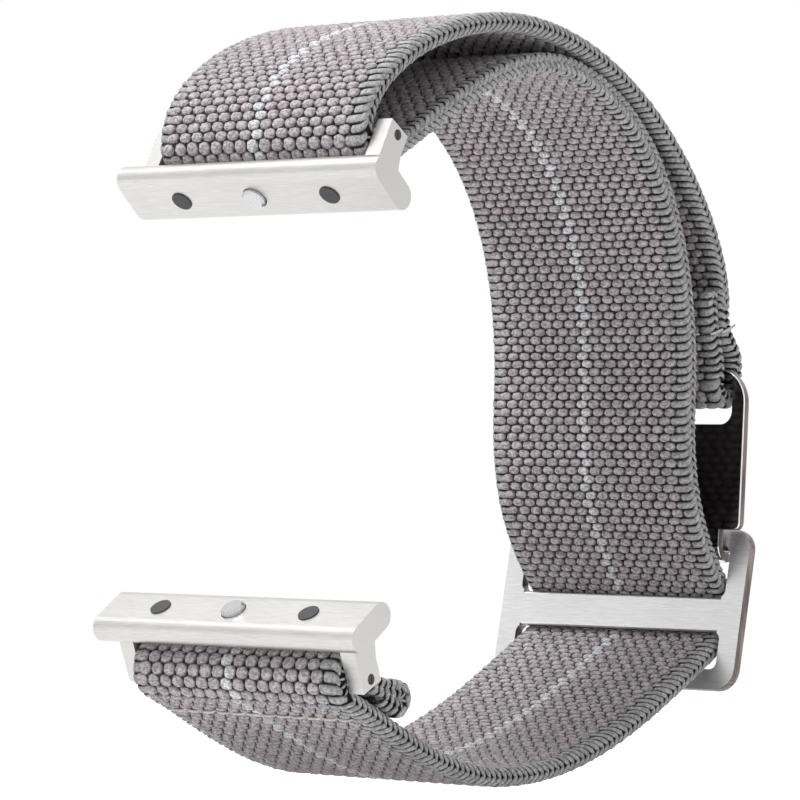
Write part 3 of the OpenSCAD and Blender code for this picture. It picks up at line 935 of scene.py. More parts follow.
@dataclass
class Stitch:
    """One stitch that bows out of the cloth between two holes, or out of the band's edge."""

    length: float
    over_edge: bool = False
    half_d: float = 0.14
    bow: float = 0.16
    sink: float = 0.08
    girths: Point = (0.55, 0.45)
    crown: Point = (0.7, 0.3)
    sides: int = 8
    rings: int = 9

    def mesh(self) -> bpy.types.Mesh:
        """Builds the stitch along X with its holes at z = 0, or along Z with them at x = 0.

        Returns:
            The stitch's mesh, which carries its crown, for painted shade on its underside.
        """
        rings, crowns = [], []
        turns = turns_round(self.sides)
        thin, swell = self.girths
        base, rise = self.crown
        for i in range(self.rings):
            share = i / (self.rings - 1)
            x = (share - 0.5) * self.length
            z = self.bow * (1 - (2 * share - 1) ** 4) - self.sink
            girth = self.half_d * (thin + swell * math.sin(math.pi * share))
            ring = [Vector((x, girth * math.cos(a), z + girth * math.sin(a))) * MM for a in turns]
            rings.append([point.zyx for point in ring] if self.over_edge else ring)
            # Painted shade: the crown is lowest on the side that sinks into the cloth
            crowns.append([base + rise * math.sin(a) for a in turns])
        return ringed_mesh("stitch", rings, {"crown": crowns})


class PartsTree(Graph):
    """A geometry node tree with named inputs that sets parts again and again."""

    def __init__(self, name: str, inputs: dict[str, str]) -> None:
        """Makes the tree's inputs and its one output.

        Args:
            name: The tree's name.
            inputs: The kind of each input, by name.
        """
        super().__init__(bpy.data.node_groups.new(name, "GeometryNodeTree"))
        face = self.tree.interface
        self.ids = {
            key: face.new_socket(key, in_out="INPUT", socket_type="NodeSocket" + kind).identifier
            for key, kind in inputs.items()
        }
        face.new_socket("Geometry", in_out="OUTPUT", socket_type="NodeSocketGeometry")
        self.given = self.node("NodeGroupInput").outputs

    def number(self, name: str) -> Value:
        """Gives one of the tree's inputs as a number."""
        return Value(self, self.given[name])

    def ends_in(self, *geometries: Any) -> None:
        """Joins geometries as the tree's result."""
        joined = self.node("GeometryNodeJoinGeometry", {}, {0: list(geometries)})
        self.node("NodeGroupOutput", {}, {0: joined.outputs[0]})

    def named(self, name: str) -> Value:
        """Gives a number that the points carry."""
        return self.value("GeometryNodeInputNamedAttribute", {"data_type": "FLOAT"}, {"Name": name})

    def store(self, geometry: Any, name: str, value: Any, domain: str) -> bpy.types.NodeSocket:
        """Writes a number onto a geometry."""
        settings = {"data_type": "FLOAT", "domain": domain}
        inputs = {"Geometry": geometry, "Name": name, "Value": value}
        return self.node("GeometryNodeStoreNamedAttribute", settings, inputs).outputs[0]

    def random(self, low: float, high: float, salt: int) -> Value:
        """Gives a random number for each element, which depends on the seed."""
        inputs = {2: low, 3: high, "Seed": self.number("Seed") + salt}
        return self.value("FunctionNodeRandomValue", {"data_type": "FLOAT"}, inputs, 1)

    def vector(self, x: Any, y: Any = 0.0, z: Any = 0.0) -> bpy.types.NodeSocket:
        """Gives a vector from three numbers."""
        return self.node("ShaderNodeCombineXYZ", {}, {0: x, 1: y, 2: z}).outputs[0]

    def rotation(self, x: Any, y: Any = 0.0, z: Any = 0.0) -> bpy.types.NodeSocket:
        """Gives a rotation from three angles."""
        return self.node("FunctionNodeEulerToRotation", {}, {0: self.vector(x, y, z)}).outputs[0]

    def part(self, name: str) -> bpy.types.NodeSocket:
        """Gives the geometry of an object input."""
        return self.node("GeometryNodeObjectInfo", {}, {"Object": self.given[name]}).outputs["Geometry"]

    def dressed(self, geometry: Any, material: str) -> bpy.types.NodeSocket:
        """Realizes instances and sets their material."""
        real = self.node("GeometryNodeRealizeInstances", {}, {0: geometry})
        inputs = {"Geometry": real.outputs[0], "Material": self.given[material]}
        return self.node("GeometryNodeSetMaterial", {}, inputs).outputs[0]

    def apply(self, piece: bpy.types.Object, inputs: dict[str, Any]) -> None:
        """Runs the tree on an object and leaves the result as its plain mesh.

        Args:
            piece: The object, whose own mesh is the tree's geometry input.
            inputs: The tree's other inputs by name.
        """
        modifier = piece.modifiers.new(self.tree.name, "NODES")
        modifier.node_group = self.tree
        for name, value in inputs.items():
            modifier[self.ids[name]] = value
        mesh = finished_mesh(piece)
        piece.modifiers.remove(modifier)
        spent = piece.data
        piece.data = mesh
        bpy.data.meshes.remove(spent)


class LineTree(PartsTree):
    """The node tree that adds a line of parts across the band to an object."""

    def __init__(self) -> None:
        """Builds the tree once; each line sets its own inputs."""
        super().__init__(
            "part_line",
            {
                "Geometry": "Geometry", "Part": "Object", "Count": "Int", "Pitch": "Float", "Place": "Vector",
                "Turn": "Float", "Spread": "Float", "Twist": "Float", "Seed": "Int", "Material": "Material",
            },
        )
        pitch, count, spread = self.number("Pitch"), self.number("Count"), self.number("Spread")
        first = self.vector((1 - count) * pitch * 0.5)
        start = self.node("ShaderNodeVectorMath", {"operation": "ADD"}, {0: first, 1: self.given["Place"]})
        line = self.node(
            "GeometryNodeMeshLine",
            {"mode": "OFFSET"},
            {"Count": count, "Start Location": start.outputs[0], "Offset": self.vector(pitch)},
        )
        size = self.vector(*(1.0 + spread * self.random(-1.0, 1.0, salt) for salt in (1, 2, 3)))
        parts = self.node(
            "GeometryNodeInstanceOnPoints",
            {},
            {"Points": line.outputs[0], "Instance": self.part("Part"), "Scale": size,
             "Rotation": self.rotation(self.number("Turn"))},
        )
        twist = self.number("Twist")
        lean = self.rotation(0.0, twist * self.random(-1.0, 1.0, 4), twist * self.random(-1.0, 1.0, 5))
        turned = self.node("GeometryNodeRotateInstances", {}, {0: parts.outputs[0], "Rotation": lean})
        toned = self.store(turned.outputs[0], "tone", self.random(0.0, 1.0, 6), "INSTANCE")
        self.ends_in(self.given["Geometry"], self.dressed(toned, "Material"))


class WeaveTree(PartsTree):
    """The node tree that covers a line of rows with knots and binds the band's two edges."""

    NOT_MIDDLE = 0.1
    KNOT_WIDTHS = (0.95, 1.04)
    KNOT_LENGTHS = (0.93, 1.05)
    KNOT_HEIGHTS = (0.985, 1.02)
    WRAP_LENGTHS = (0.95, 1.03)
    WRAP_HEIGHTS = (0.96, 1.01)
    WRAP_SWING = 0.2

    def __init__(self) -> None:
        """Builds the tree once; each stretch sets its own inputs."""
        super().__init__(
            "weave",
            {
                "Rows": "Geometry", "Core": "Object", "Knot": "Object", "Wrap": "Object",
                "Counter wrap": "Object", "Columns": "Int", "Pitch": "Float", "Middle": "Float",
                "Shift": "Float", "Half width": "Float", "Right reach": "Float", "Left reach": "Float",
                "Jitter": "Float", "Seed": "Int", "Ground": "Material", "Edge": "Material",
            },
        )
        self.ends_in(self.ground(), self.edges(), self.part("Core"))

    def slid(self, across: Any) -> bpy.types.NodeSocket:
        """Gives the rows' points, moved along X."""
        inputs = {"Geometry": self.given["Rows"], "Offset": self.vector(across)}
        return self.node("GeometryNodeSetPosition", {}, inputs).outputs[0]

    def ground(self) -> bpy.types.NodeSocket:
        """Lays rows of knots on both faces, each row shifted against the next.

        Returns:
            The knots of both faces.
        """
        pitch, columns = self.number("Pitch"), self.number("Columns")
        line = self.node(
            "GeometryNodeMeshLine",
            {"mode": "OFFSET"},
            {"Count": columns, "Offset": self.vector(pitch),
             "Start Location": self.vector((1 - columns) * pitch * 0.5 + self.number("Middle"))},
        )
        off = self.value("GeometryNodeInputIndex") - (columns - 1) * 0.5
        light = 1 - (off * off).above(self.NOT_MIDDLE)
        across = self.store(line.outputs[0], "light", light, "POINT")
        rows = self.slid(self.named("side") * self.number("Shift"))
        placed = self.node("GeometryNodeInstanceOnPoints", {}, {"Points": rows, "Instance": across})
        points = self.node("GeometryNodeRealizeInstances", {}, {0: placed.outputs[0]}).outputs[0]
        faces = []
        for flip, grow, salt in ((0.0, "grow_left", 1), (math.pi, "grow_right", 2)):
            size = self.vector(
                self.random(*self.KNOT_WIDTHS, salt),
                self.named(grow) * self.random(*self.KNOT_LENGTHS, salt + 10),
                self.random(*self.KNOT_HEIGHTS, salt + 20),
            )
            knots = self.node(
                "GeometryNodeInstanceOnPoints",
                {},
                {"Points": points, "Instance": self.part("Knot"), "Scale": size,
                 "Rotation": self.rotation(self.named("turn") + flip)},
            )
            twist = self.rotation(0.0, 0.0, self.random(-1.0, 1.0, salt + 30) * self.number("Jitter"))
            turned = self.node("GeometryNodeRotateInstances", {}, {0: knots.outputs[0], "Rotation": twist})
            faces.append(self.store(turned.outputs[0], "tone", self.random(0.0, 1.0, salt + 40), "INSTANCE"))
        both = self.node("GeometryNodeJoinGeometry", {}, {0: faces})
        return self.dressed(both.outputs[0], "Ground")

    def edges(self) -> bpy.types.NodeSocket:
        """Binds both edges with slanted wraps that meet in the middle of the edge.

        Returns:
            The wraps of both edges.
        """
        turn = self.named("turn")
        wraps = []
        for side, yarn, angles, grow, salt in (
            (1, "Wrap", (turn, 0.0, 0.0), "grow_left", 3),
            (1, "Counter wrap", (turn + math.pi, 0.0, 0.0), "grow_right", 4),
            (-1, "Counter wrap", (-turn, 0.0, math.pi), "grow_left", 5),
            (-1, "Wrap", (-turn, math.pi, 0.0), "grow_right", 6),
        ):
            reach = self.number("Right reach" if side > 0 else "Left reach")
            size = self.vector(
                reach * (1.0 - self.named("side") * (self.WRAP_SWING * side)),
                self.named(grow) * self.random(*self.WRAP_LENGTHS, salt),
                self.random(*self.WRAP_HEIGHTS, salt + 20),
            )
            bound = self.node(
                "GeometryNodeInstanceOnPoints",
                {},
                {"Points": self.slid(self.number("Half width") * side), "Instance": self.part(yarn),
                 "Scale": size, "Rotation": self.rotation(*angles)},
            )
            wraps.append(self.store(bound.outputs[0], "tone", self.random(0.0, 1.0, salt + 50), "INSTANCE"))
        both = self.node("GeometryNodeJoinGeometry", {}, {0: wraps})
        return self.dressed(both.outputs[0], "Edge")


@dataclass
class Webbing:
    """The woven band: the inner lead as three pieces, the other nine stretches as one each."""

    shape: BandShape = field(default_factory=BandShape)
    row_pitch: float = 0.745
    columns: int = 15
    column_pitch: float = 1.325
    middle: float = -0.5
    shift: float = 0.26
    right_reach: float = 1.14
    left_reach: float = 0.8
    jitter: float = 0.12
    wrap_slant: float = 1.0
    tight_slant: float = 0.35
    tight: tuple[str, ...] = (
        "webbing_lower_fold", "webbing_slider_bend", "webbing_upper_loop", "webbing_hook_fold",
    )
    grows: Point = (0.42, 2.1)
    core_half_t: float = 0.56
    core_half_w: float = 10.7
    lumps: int = 16
    lump_pitch: float = 1.38
    lump_sink: float = 0.3
    lump_spread: float = 0.12
    lump_twist: float = 0.3
    lump_seed: int = 7
    seed_step: int = 100
    ground: WovenFinish = WovenFinish("woven_ground")
    edge: WovenFinish = WovenFinish(
        "edge_yarn", warm=(0.41, 0.405, 0.41), cool=(0.45, 0.456, 0.466), gap=(0.02, 0.02, 0.022), fleck=0.6
    )
    # Painted shade: the near-black ribbon between the knots stands in for the shade deep in the weave
    under: WovenFinish = WovenFinish("painted_shade_core", warm=(0.04, 0.035, 0.035), cool=(0.05, 0.045, 0.045))

    def core(self, name: str, ribs: Sequence[Row], material: bpy.types.Material) -> bpy.types.Object:
        """Builds the ribbon that shows between the knots, near black as painted shade deep in the weave.

        Args:
            name: The stretch's name.
            ribs: The rows that the ribbon runs through.
            material: The ribbon's material.

        Returns:
            The ribbon.
        """
        rings, crowns = [], []
        for rib in ribs:
            up = self.shape.left(rib.way)
            ring = []
            for x, h in ((-1, -1), (1, -1), (1, 1), (-1, 1)):
                at = rib.at + h * self.core_half_t * up
                ring.append(Vector((x * self.core_half_w, at.x, at.y)) * MM)
            rings.append(ring)
            crowns.append([1.0] * 4)
        mesh = ringed_mesh(name + "_core", rings, {"crown": crowns})
        mesh.materials.append(material)
        return link(name + "_core", mesh)

    def rows_mesh(self, name: str, rows: Sequence[Row]) -> bpy.types.Mesh:
        """Builds one point for each row, which carries its turn, shift and stretch.

        Args:
            name: The mesh's name.
            rows: The stretch's rows.

        Returns:
            The points.
        """
        mesh = bpy.data.meshes.new(name)
        mesh.from_pydata([(0.0, row.at.x * MM, row.at.y * MM) for row in rows], [], [])
        half = self.shape.web_t / 2
        least, most = self.grows
        numbers = {
            "turn": [row.turn for row in rows],
            "side": [1.0 if row.number % 2 else -1.0 for row in rows],
            "grow_left": [min(max(1 - row.bend * half, least), most) for row in rows],
            "grow_right": [min(max(1 + row.bend * half, least), most) for row in rows],
        }
        for key, values in numbers.items():
            mesh.attributes.new(key, "FLOAT", "POINT").data.foreach_set("value", values)
        return mesh

    def cut_end(self, piece: bpy.types.Object, material: bpy.types.Material) -> None:
        """Closes the band's hook end with a row of thick yarn bulges.

        Args:
            piece: The woven hook fold.
            material: The bulges' material.
        """
        way = self.shape.slope(self.shape.curves["inner_leg"], 0)
        end = self.shape.bez(self.shape.curves["inner_leg"], 0) + self.lump_sink * way
        lump = link("lump", Lump().mesh())
        LineTree().apply(
            piece,
            {
                "Part": lump, "Count": self.lumps, "Pitch": self.lump_pitch * MM,
                "Place": (0.0, end.x * MM, end.y * MM), "Turn": math.atan2(way.y, way.x),
                "Spread": self.lump_spread, "Twist": self.lump_twist, "Seed": self.lump_seed,
                "Material": material,
            },
        )
        bpy.data.objects.remove(lump)

    def build(self) -> dict[str, bpy.types.Object]:
        """Weaves every stretch.

        Returns:
            The pieces by their stretches' names.
        """
        line = BandLine(self.shape, self.row_pitch)
        log.info("band: %.1f mm along its middle line", line.length)
        tree = WeaveTree()
        ground, edge, under = self.ground.material(), self.edge.material(), self.under.material()
        knot = link("knot", Knot().mesh())
        wraps = [
            [link("wrap", Wrap(way * slant).mesh()) for way in (1, -1)]
            for slant in (self.wrap_slant, self.tight_slant)
        ]
        pieces = {}
        for seed, (name, rows) in enumerate(line.rows.items()):
            wrap, counter = wraps[name in self.tight]
            core = self.core(name, line.ribs[name], under)
            piece = link("woven_" + name, self.rows_mesh(name, rows))
            tree.apply(
                piece,
                {
                    "Core": core, "Knot": knot, "Wrap": wrap, "Counter wrap": counter,
                    "Columns": self.columns, "Pitch": self.column_pitch * MM, "Middle": self.middle * MM,
                    "Shift": self.shift * MM, "Half width": self.shape.web_w / 2 * MM,
                    "Right reach": self.right_reach, "Left reach": self.left_reach,
                    "Jitter": self.jitter, "Seed": self.seed_step * seed, "Ground": ground, "Edge": edge,
                },
            )
            bpy.data.objects.remove(core)
            if name == "webbing_hook_fold":
                self.cut_end(piece, ground)
            pieces[name] = piece
            log.info("%s: %d rows, %d faces", name, len(rows), len(piece.data.polygons))
        for part in [knot, *wraps[0], *wraps[1]]:
            bpy.data.objects.remove(part)
        return pieces

    def dress(self, pieces: dict[str, bpy.types.Object]) -> None:
        """Hides each piece's solid and puts the piece on its body; six that pass between two bodies are left
        in place on none.

        Args:
            pieces: The pieces by their stretches' names.
        """
        web, slider, hook = Body.WEBBING.value, Body.SLIDER.value, Body.HOOK_END.value
        lead = self.shape.curves["inner_lead"]
        knee, pressed, foot = (
            (0, *self.shape.bez(lead, share) * MM)
            for share in (self.shape.knee_share, self.shape.press_share, 1)
        )
        # Two bodies, and the places in metres between which the piece passes from one to the other
        bends = {
            "webbing_inner_lead": (web, slider, (0, 0.046, 0.004), knee),
            "webbing_inner_lead_knee": (slider, hook, knee, pressed),
            "webbing_inner_lead_foot": (hook, slider, pressed, foot),
            "webbing_lower_lead": (web, slider, (0, 0.0415, -0.0238), (0, 0.0518, -0.0178)),
            "webbing_outer_run": (web, slider, (0, 0.030, 0.033), (0, 0.0447, 0.0234)),
            "webbing_outer_lead": (slider, hook, (0, 0.0455, 0.0225), (0, 0.0506, 0.0135)),
        }
        firm = {"webbing_slider_bend": slider, "webbing_hook_fold": hook}
        for name, piece in pieces.items():
            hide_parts(name.removesuffix("_foot").removesuffix("_knee"))
            if name in bends:
                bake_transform(piece)
            else:
                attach(piece, firm.get(name, web))


@dataclass
class Stitching:
    """A row of lock stitches through two layers of the band, seen on both outer faces."""

    shape: BandShape = field(default_factory=BandShape)
    margin: float = 1.2
    stitches: int = 12
    stitch_share: float = 0.97
    spread: float = 0.04
    twist: float = 0.05
    edge_x: float = 11.12
    edge_reach: float = 0.35
    edge_seed: int = 10
    thread: WovenFinish = WovenFinish(
        "thread", warm=(0.80, 0.72, 0.69), cool=(0.70, 0.64, 0.62), gap=(0.20, 0.17, 0.16), fleck=0.3
    )

    def row(
        self,
        name: str,
        node: str,
        faces: Sequence[tuple[str, float, float]],
        body: Body,
        over_edges: bool = False,
    ) -> None:
        """Sews one row.

        Args:
            name: The piece's name.
            node: The solid that it replaces.
            faces: The curve, the share along it and the side (1 left, -1 right) of each face.
            body: The body that it rides on.
            over_edges: Whether the thread also turns over the band's edges.
        """
        shape = self.shape
        pitch = (shape.web_w - 2 * self.margin) / self.stitches
        stitch = link("stitch", Stitch(pitch * self.stitch_share).mesh())
        loop = link("loop", Stitch(shape.web_t + self.edge_reach, True).mesh())
        piece = link(name, bpy.data.meshes.new(name))
        tree, material = LineTree(), self.thread.material()
        for seed, (curve, share, side) in enumerate(faces):
            out = side * shape.left(shape.slope(shape.curves[curve], share))
            face = shape.bez(shape.curves[curve], share) + shape.web_t / 2 * out
            lines = [(stitch, self.stitches, pitch, face, seed)]
            if over_edges:
                middle = face - shape.web_t / 2 * out
                lines.append((loop, 2, 2 * self.edge_x, middle, seed + self.edge_seed))
            for part, count, gap, at, salt in lines:
                tree.apply(
                    piece,
                    {
                        "Part": part, "Count": count, "Pitch": gap * MM,
                        "Place": (0.0, at.x * MM, at.y * MM), "Turn": math.atan2(-out.x, out.y),
                        "Spread": self.spread, "Twist": self.twist, "Seed": salt, "Material": material,
                    },
                )
        bpy.data.objects.remove(stitch)
        bpy.data.objects.remove(loop)
        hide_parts(node)
        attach(piece, body.value)
        log.info("%s: %d stitches on each face", name, self.stitches)

    def build(self) -> None:
        """Sews the lower fold and the hook fold."""
        self.row(
            "sewn_lower_fold", "lower_fold_stitching",
            [("lower_front", 0.85, 1), ("lower_fold", 0.36, 1)], Body.WEBBING,
        )
        self.row(
            "sewn_hook_fold", "hook_fold_stitching",
            [("inner_leg", 0.39, -1), ("outer_leg", 0.76, -1)], Body.HOOK_END, True,
        )


@dataclass(frozen=True)
class Rounding:
    """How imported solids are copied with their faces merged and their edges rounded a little."""

    width: float = 0.12
    segments: int = 3
    merge: float = 0.002
    flat_degrees: float = 0.6
    edge_degrees: float = 35.0
    sharp_degrees: float = 32.0

    def copy(self, node: bpy.types.Object, name: str) -> bpy.types.Object:
        """Copies one solid.

        Args:
            node: The solid's object.
            name: The copy's name.

        Returns:
            The copy, at the origin.
        """
        shape = bmesh.new()
        shape.from_mesh(node.data)
        shape.transform(node.matrix_world)
        bmesh.ops.remove_doubles(shape, verts=shape.verts, dist=self.merge * MM)
        flat = math.radians(self.flat_degrees)
        bmesh.ops.dissolve_limit(shape, angle_limit=flat, verts=shape.verts, edges=shape.edges)
        mesh = bpy.data.meshes.new(name)
        shape.to_mesh(mesh)
        shape.free()
        copy = link(name, mesh)
        bevel = copy.modifiers.new("bevel", "BEVEL")
        bevel.width = self.width * MM
        bevel.segments = self.segments
        bevel.limit_method = "ANGLE"
        bevel.angle_limit = math.radians(self.edge_degrees)
        bevelled = finished_mesh(copy)
        smooth(bevelled, self.sharp_degrees)
        copy.data = bevelled
        copy.modifiers.clear()
        even = copy.modifiers.new("even", "WEIGHTED_NORMAL")
        even.keep_sharp = True
        copy.data = finished_mesh(copy)
        copy.modifiers.clear()
        for spent in (mesh, bevelled):
            bpy.data.meshes.remove(spent)
        return copy


@dataclass
class MetalParts:
    """The clasp's plates, the two connectors and the spring bars, dressed on their solids."""

    slider_lean: float = 8.8
    face_inset: float = 1.3
    flat_facing: float = 0.985
    rim_facing: float = 0.2
    bevel_area: float = 6.0
    rounding: Rounding = Rounding()
    brushed: SteelFinish = SteelFinish(
        "brushed_plate", colour=(0.69, 0.685, 0.695), rough=0.38, grain=(0.03, 1.0, 1.0), per_mm=24.0,
        contrast=0.2,
    )
    rim: SteelFinish = SteelFinish(
        "plate_rim", colour=(0.20, 0.17, 0.16), rough=0.4, grain=(1.0, 0.2, 0.03), per_mm=6.0, contrast=0.9
    )
    bright: SteelFinish = SteelFinish(
        "plate_bevel", colour=(0.80, 0.78, 0.77), rough=0.16, spread=0.05, grain=(0.1, 0.1, 0.1), contrast=0.1
    )
    # Painted reflection: the hook plate's inner face is polished and coloured near black for the shaded
    # webbing it mirrors
    dark: SteelFinish = SteelFinish(
        "polished_painted_reflection", colour=(0.17, 0.16, 0.155), rough=0.14, spread=0.05, grain=(0.02, 1.0, 1.0),
        depth_mm=0.002, contrast=0.1
    )
    satin: SteelFinish = SteelFinish(
        "satin_connector", colour=(0.57, 0.557, 0.54), rough=0.4, spread=0.1, grain=(0.05, 1.0, 1.0),
        depth_mm=0.003, contrast=0.14
    )
    turned: SteelFinish = SteelFinish(
        "turned_steel", colour=(0.55, 0.55, 0.56), rough=0.28, grain=(1.0, 0.05, 0.05), contrast=0.15
    )
    # Painted shade: the spring bars' tips are coloured dark for the shade in their recessed ends
    nose: SteelFinish = SteelFinish(
        "dark_steel", colour=(0.13, 0.115, 0.105), rough=0.38, grain=(1.0, 0.05, 0.05), contrast=0.2
    )
    rubber: RubberFinish = RubberFinish("rubber")

    def plate(
        self, frame: dict[str, Any], node: str, name: str, body: Body, finishes: Sequence[bpy.types.Material]
    ) -> None:
        """Dresses a flat plate: its two faces, its rims and the bevels between them.

        Args:
            frame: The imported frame.
            node: The plate's node.
            name: The piece's name.
            body: The body that it rides on.
            finishes: The zones' materials.
        """
        piece = self.rounding.copy(frame["nodes"][node], name)
        lean = math.radians(self.slider_lean) if body is Body.SLIDER else 0.0
        out = Vector((0, math.cos(lean), -math.sin(lean)))
        piece.data.materials.clear()
        for finish in finishes:
            piece.data.materials.append(finish)
        up = Vector((0, -out.z, out.y))
        spans = [[vertex.co.dot(way) for vertex in piece.data.vertices] for way in (Vector((1, 0, 0)), up)]
        inset, largest = self.face_inset * MM, self.bevel_area * MM * MM
        limits = [(min(span) + inset, max(span) - inset) for span in spans]
        for polygon in piece.data.polygons:
            facing = polygon.normal.dot(out)
            places = (polygon.center.x, polygon.center.dot(up))
            inside = all(low < at < high for (low, high), at in zip(limits, places))
            if abs(facing) > (self.rim_facing if inside else self.flat_facing):
                zone = Zone.OUTER if facing > 0 else Zone.INNER
            else:
                zone = Zone.BEVEL if abs(facing) > self.rim_facing and polygon.area < largest else Zone.RIM
            polygon.material_index = zone
        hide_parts(node)
        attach(piece, body.value)
        log.info("%s: %d faces", name, len(piece.data.polygons))

    def build(self, frame: dict[str, Any]) -> None:
        """Dresses every metal and rubber piece.

        Args:
            frame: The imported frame.
        """
        brushed, rim, bright = self.brushed.material(), self.rim.material(), self.bright.material()
        self.plate(frame, "slider_plate", "brushed_slider", Body.SLIDER, (brushed, rim, bright, brushed))
        # The hook plate's inner face gets the painted dark reflection
        dark = self.dark.material()
        self.plate(frame, "hook_plate", "polished_hook", Body.HOOK_END, (brushed, rim, bright, dark))
        satin, turned, nose = self.satin.material(), self.turned.material(), self.nose.material()
        rubber = self.rubber.material()
        for name, node in frame["nodes"].items():
            if name.endswith("_connector"):
                piece = self.rounding.copy(node, "satin_" + name)
                piece.data.materials.clear()
                piece.data.materials.append(satin)
                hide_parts(name)
                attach(piece, name.replace("_connector", "_end"))
            elif "_pad_" in name:
                self.cover(node, rubber)
            # Spring-bar tips take the painted shade of their recessed ends
            elif "_tip_" in name:
                self.cover(node, nose)
            elif name.endswith("_catch") or "_tube" in name:
                self.cover(node, turned)

    @staticmethod
    def cover(node: bpy.types.Object, material: bpy.types.Material) -> None:
        """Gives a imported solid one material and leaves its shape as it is."""
        for place in node.material_slots:
            place.link = "OBJECT"
            place.material = material


@dataclass
class Coil:
    """A coil spring of round wire along an axis."""

    radius: float
    wire_d: float
    turns: float
    steps: int = 18
    sides: int = 8

    def mesh(self, name: str, start: Vector, end: Vector) -> bpy.types.Mesh:
        """Builds the coil.

        Args:
            name: The mesh's name.
            start: The middle of its first end, in metres.
            end: The middle of its last end, in metres.

        Returns:
            The closed wire.
        """
        axis = (end - start).normalized()
        across = axis.orthogonal().normalized()
        count = round(self.turns * self.steps)
        half = self.wire_d / 2 * MM
        rings = []
        for i in range(count + 1):
            a = 2 * math.pi * self.turns * i / count
            out = Matrix.Rotation(a, 3, axis) @ across
            middle = (start + half * axis).lerp(end - half * axis, i / count) + self.radius * MM * out
            rings.append(
                [middle + half * (math.cos(b) * out + math.sin(b) * axis) for b in turns_round(self.sides)]
            )
        return ringed_mesh(name, rings, {})


@dataclass
class Winding:
    """One coil in its place: what it stands for, where it lies and how a joint presses it."""

    coil: Coil
    end: End
    node: str
    part: str
    start: Vector
    stop: Vector
    joint: str
    keep: float
    anchor: Vector

    def wind(self, steel: bpy.types.Material) -> None:
        """Winds the coil, hides the solid that it stands for and puts the coil on its end's body.

        Args:
            steel: The wire's material.
        """
        name = "_".join(("wound", self.end.value, self.node, self.part))
        mesh = self.coil.mesh(name, self.start, self.stop)
        mesh.materials.append(steel)
        piece = link(name, mesh)
        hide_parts(self.end.value + "_" + self.node)
        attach(piece, self.end.value + "_end")
        self.end.value + "_" + self.joint
        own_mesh(piece)
        log.info("%s: %d faces", name, len(mesh.polygons))


@dataclass
class Springs:
    """The coil springs, with how far their tips and catches can be pressed in."""

    bar: Coil = field(default_factory=lambda: Coil(0.38, 0.16, 7))
    catch: Coil = field(default_factory=lambda: Coil(0.88, 0.14, 3))
    tip_travel: float = 1.3
    catch_travel: float = 0.4
    catch_way: Point = (0.61566, 0.78801)
    catch_h: float = 0.66
    slack: float = 0.03
    finish: SteelFinish = SteelFinish(
        "spring_steel", colour=(0.5, 0.5, 0.51), rough=0.3, grain=(1.0, 0.05, 0.05), contrast=0.15
    )

    def build(self) -> None:
        """Winds the four springs, the long ones as two halves that meet in the bar's middle."""
        steel = self.finish.material()
        for end in End:
            low, high = (Vector(corner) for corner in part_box(end.value + "_bar_spring"))
            middle = (low + high) / 2
            for side, sign in (("right", 1), ("left", -1)):
                reach = Vector((sign * (high.x - low.x) / 2, 0, 0))
                keep = 1 - (self.tip_travel + self.slack) * MM / reach.length
                stop, joint = middle + reach, "tip_" + side + "_press"
                Winding(self.bar, end, "bar_spring", side, middle, stop, joint, keep, middle).wind(steel)
            low, high = (Vector(corner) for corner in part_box(end.value + "_catch_spring"))
            up = 1 if end is End.UPPER else -1
            way = Vector((0, self.catch_way[0], up * self.catch_way[1])) * (self.catch_h * MM / 2)
            middle = (low + high) / 2
            keep = 1 - (self.catch_travel + self.slack) / self.catch_h
            start, stop, joint = middle - way, middle + way, "catch_press"
            Winding(self.catch, end, "catch_spring", "coil", start, stop, joint, keep, stop).wind(steel)


@dataclass
class StripCamera:
    """The photograph's viewpoint, as it was fitted to the strap's own edges."""

    azimuth: float = 38.767
    elevation: float = -3.578
    roll: float = 2.796
    focal_px: float = 4052.18
    image_px: float = 800.0
    distance_mm: float = 331.63
    aim_mm: tuple[float, float] = (13.334, 0.218)
    origin_back_mm: float = 3.5
    sensor_mm: float = 36.0
    clip: Point = (0.01, 50.0)

    def build(self) -> None:
        """Makes the camera and hands it to the scene."""
        az, el, roll = (math.radians(a) for a in (self.azimuth, self.elevation, self.roll))
        back = Vector((math.sin(az) * math.cos(el), -math.cos(az) * math.cos(el), math.sin(el)))
        right = Vector((math.cos(az), math.sin(az), 0))
        up = back.cross(right)
        c, s = math.cos(roll), math.sin(roll)
        turned_right = c * right + s * up
        turned_up = -s * right + c * up
        place = self.aim_mm[0] * turned_right + self.aim_mm[1] * turned_up + self.distance_mm * back
        place.y -= self.origin_back_mm
        camera = bpy.data.cameras.new("camera")
        camera.sensor_width = self.sensor_mm
        camera.lens = self.focal_px / self.image_px * self.sensor_mm
        camera.clip_start, camera.clip_end = self.clip
        holder = bpy.data.objects.new("camera", camera)
        axes = Matrix((turned_right, turned_up, back)).transposed()
        holder.matrix_world = Matrix.Translation(place * MM) @ axes.to_4x4()
        bpy.context.scene.collection.objects.link(holder)
        bpy.context.scene.camera = holder


@dataclass(frozen=True)
class Lamp:
    """One soft, square lamp: its place and its side are in metres, its power in watts."""

    name: str
    place: Place
    size: float
    power: float
    aim: Place = (0, 0.025, 0)

    def build(self) -> None:
        """Makes the lamp and turns it to the strap."""
        light = bpy.data.lights.new(self.name, "AREA")
        light.shape = "SQUARE"
        light.size = self.size
        light.energy = self.power
        holder = bpy.data.objects.new(self.name, light)
        holder.location = self.place
        holder.rotation_euler = (Vector(self.place) - Vector(self.aim)).to_track_quat("Z", "Y").to_euler()
        bpy.context.scene.collection.objects.link(holder)


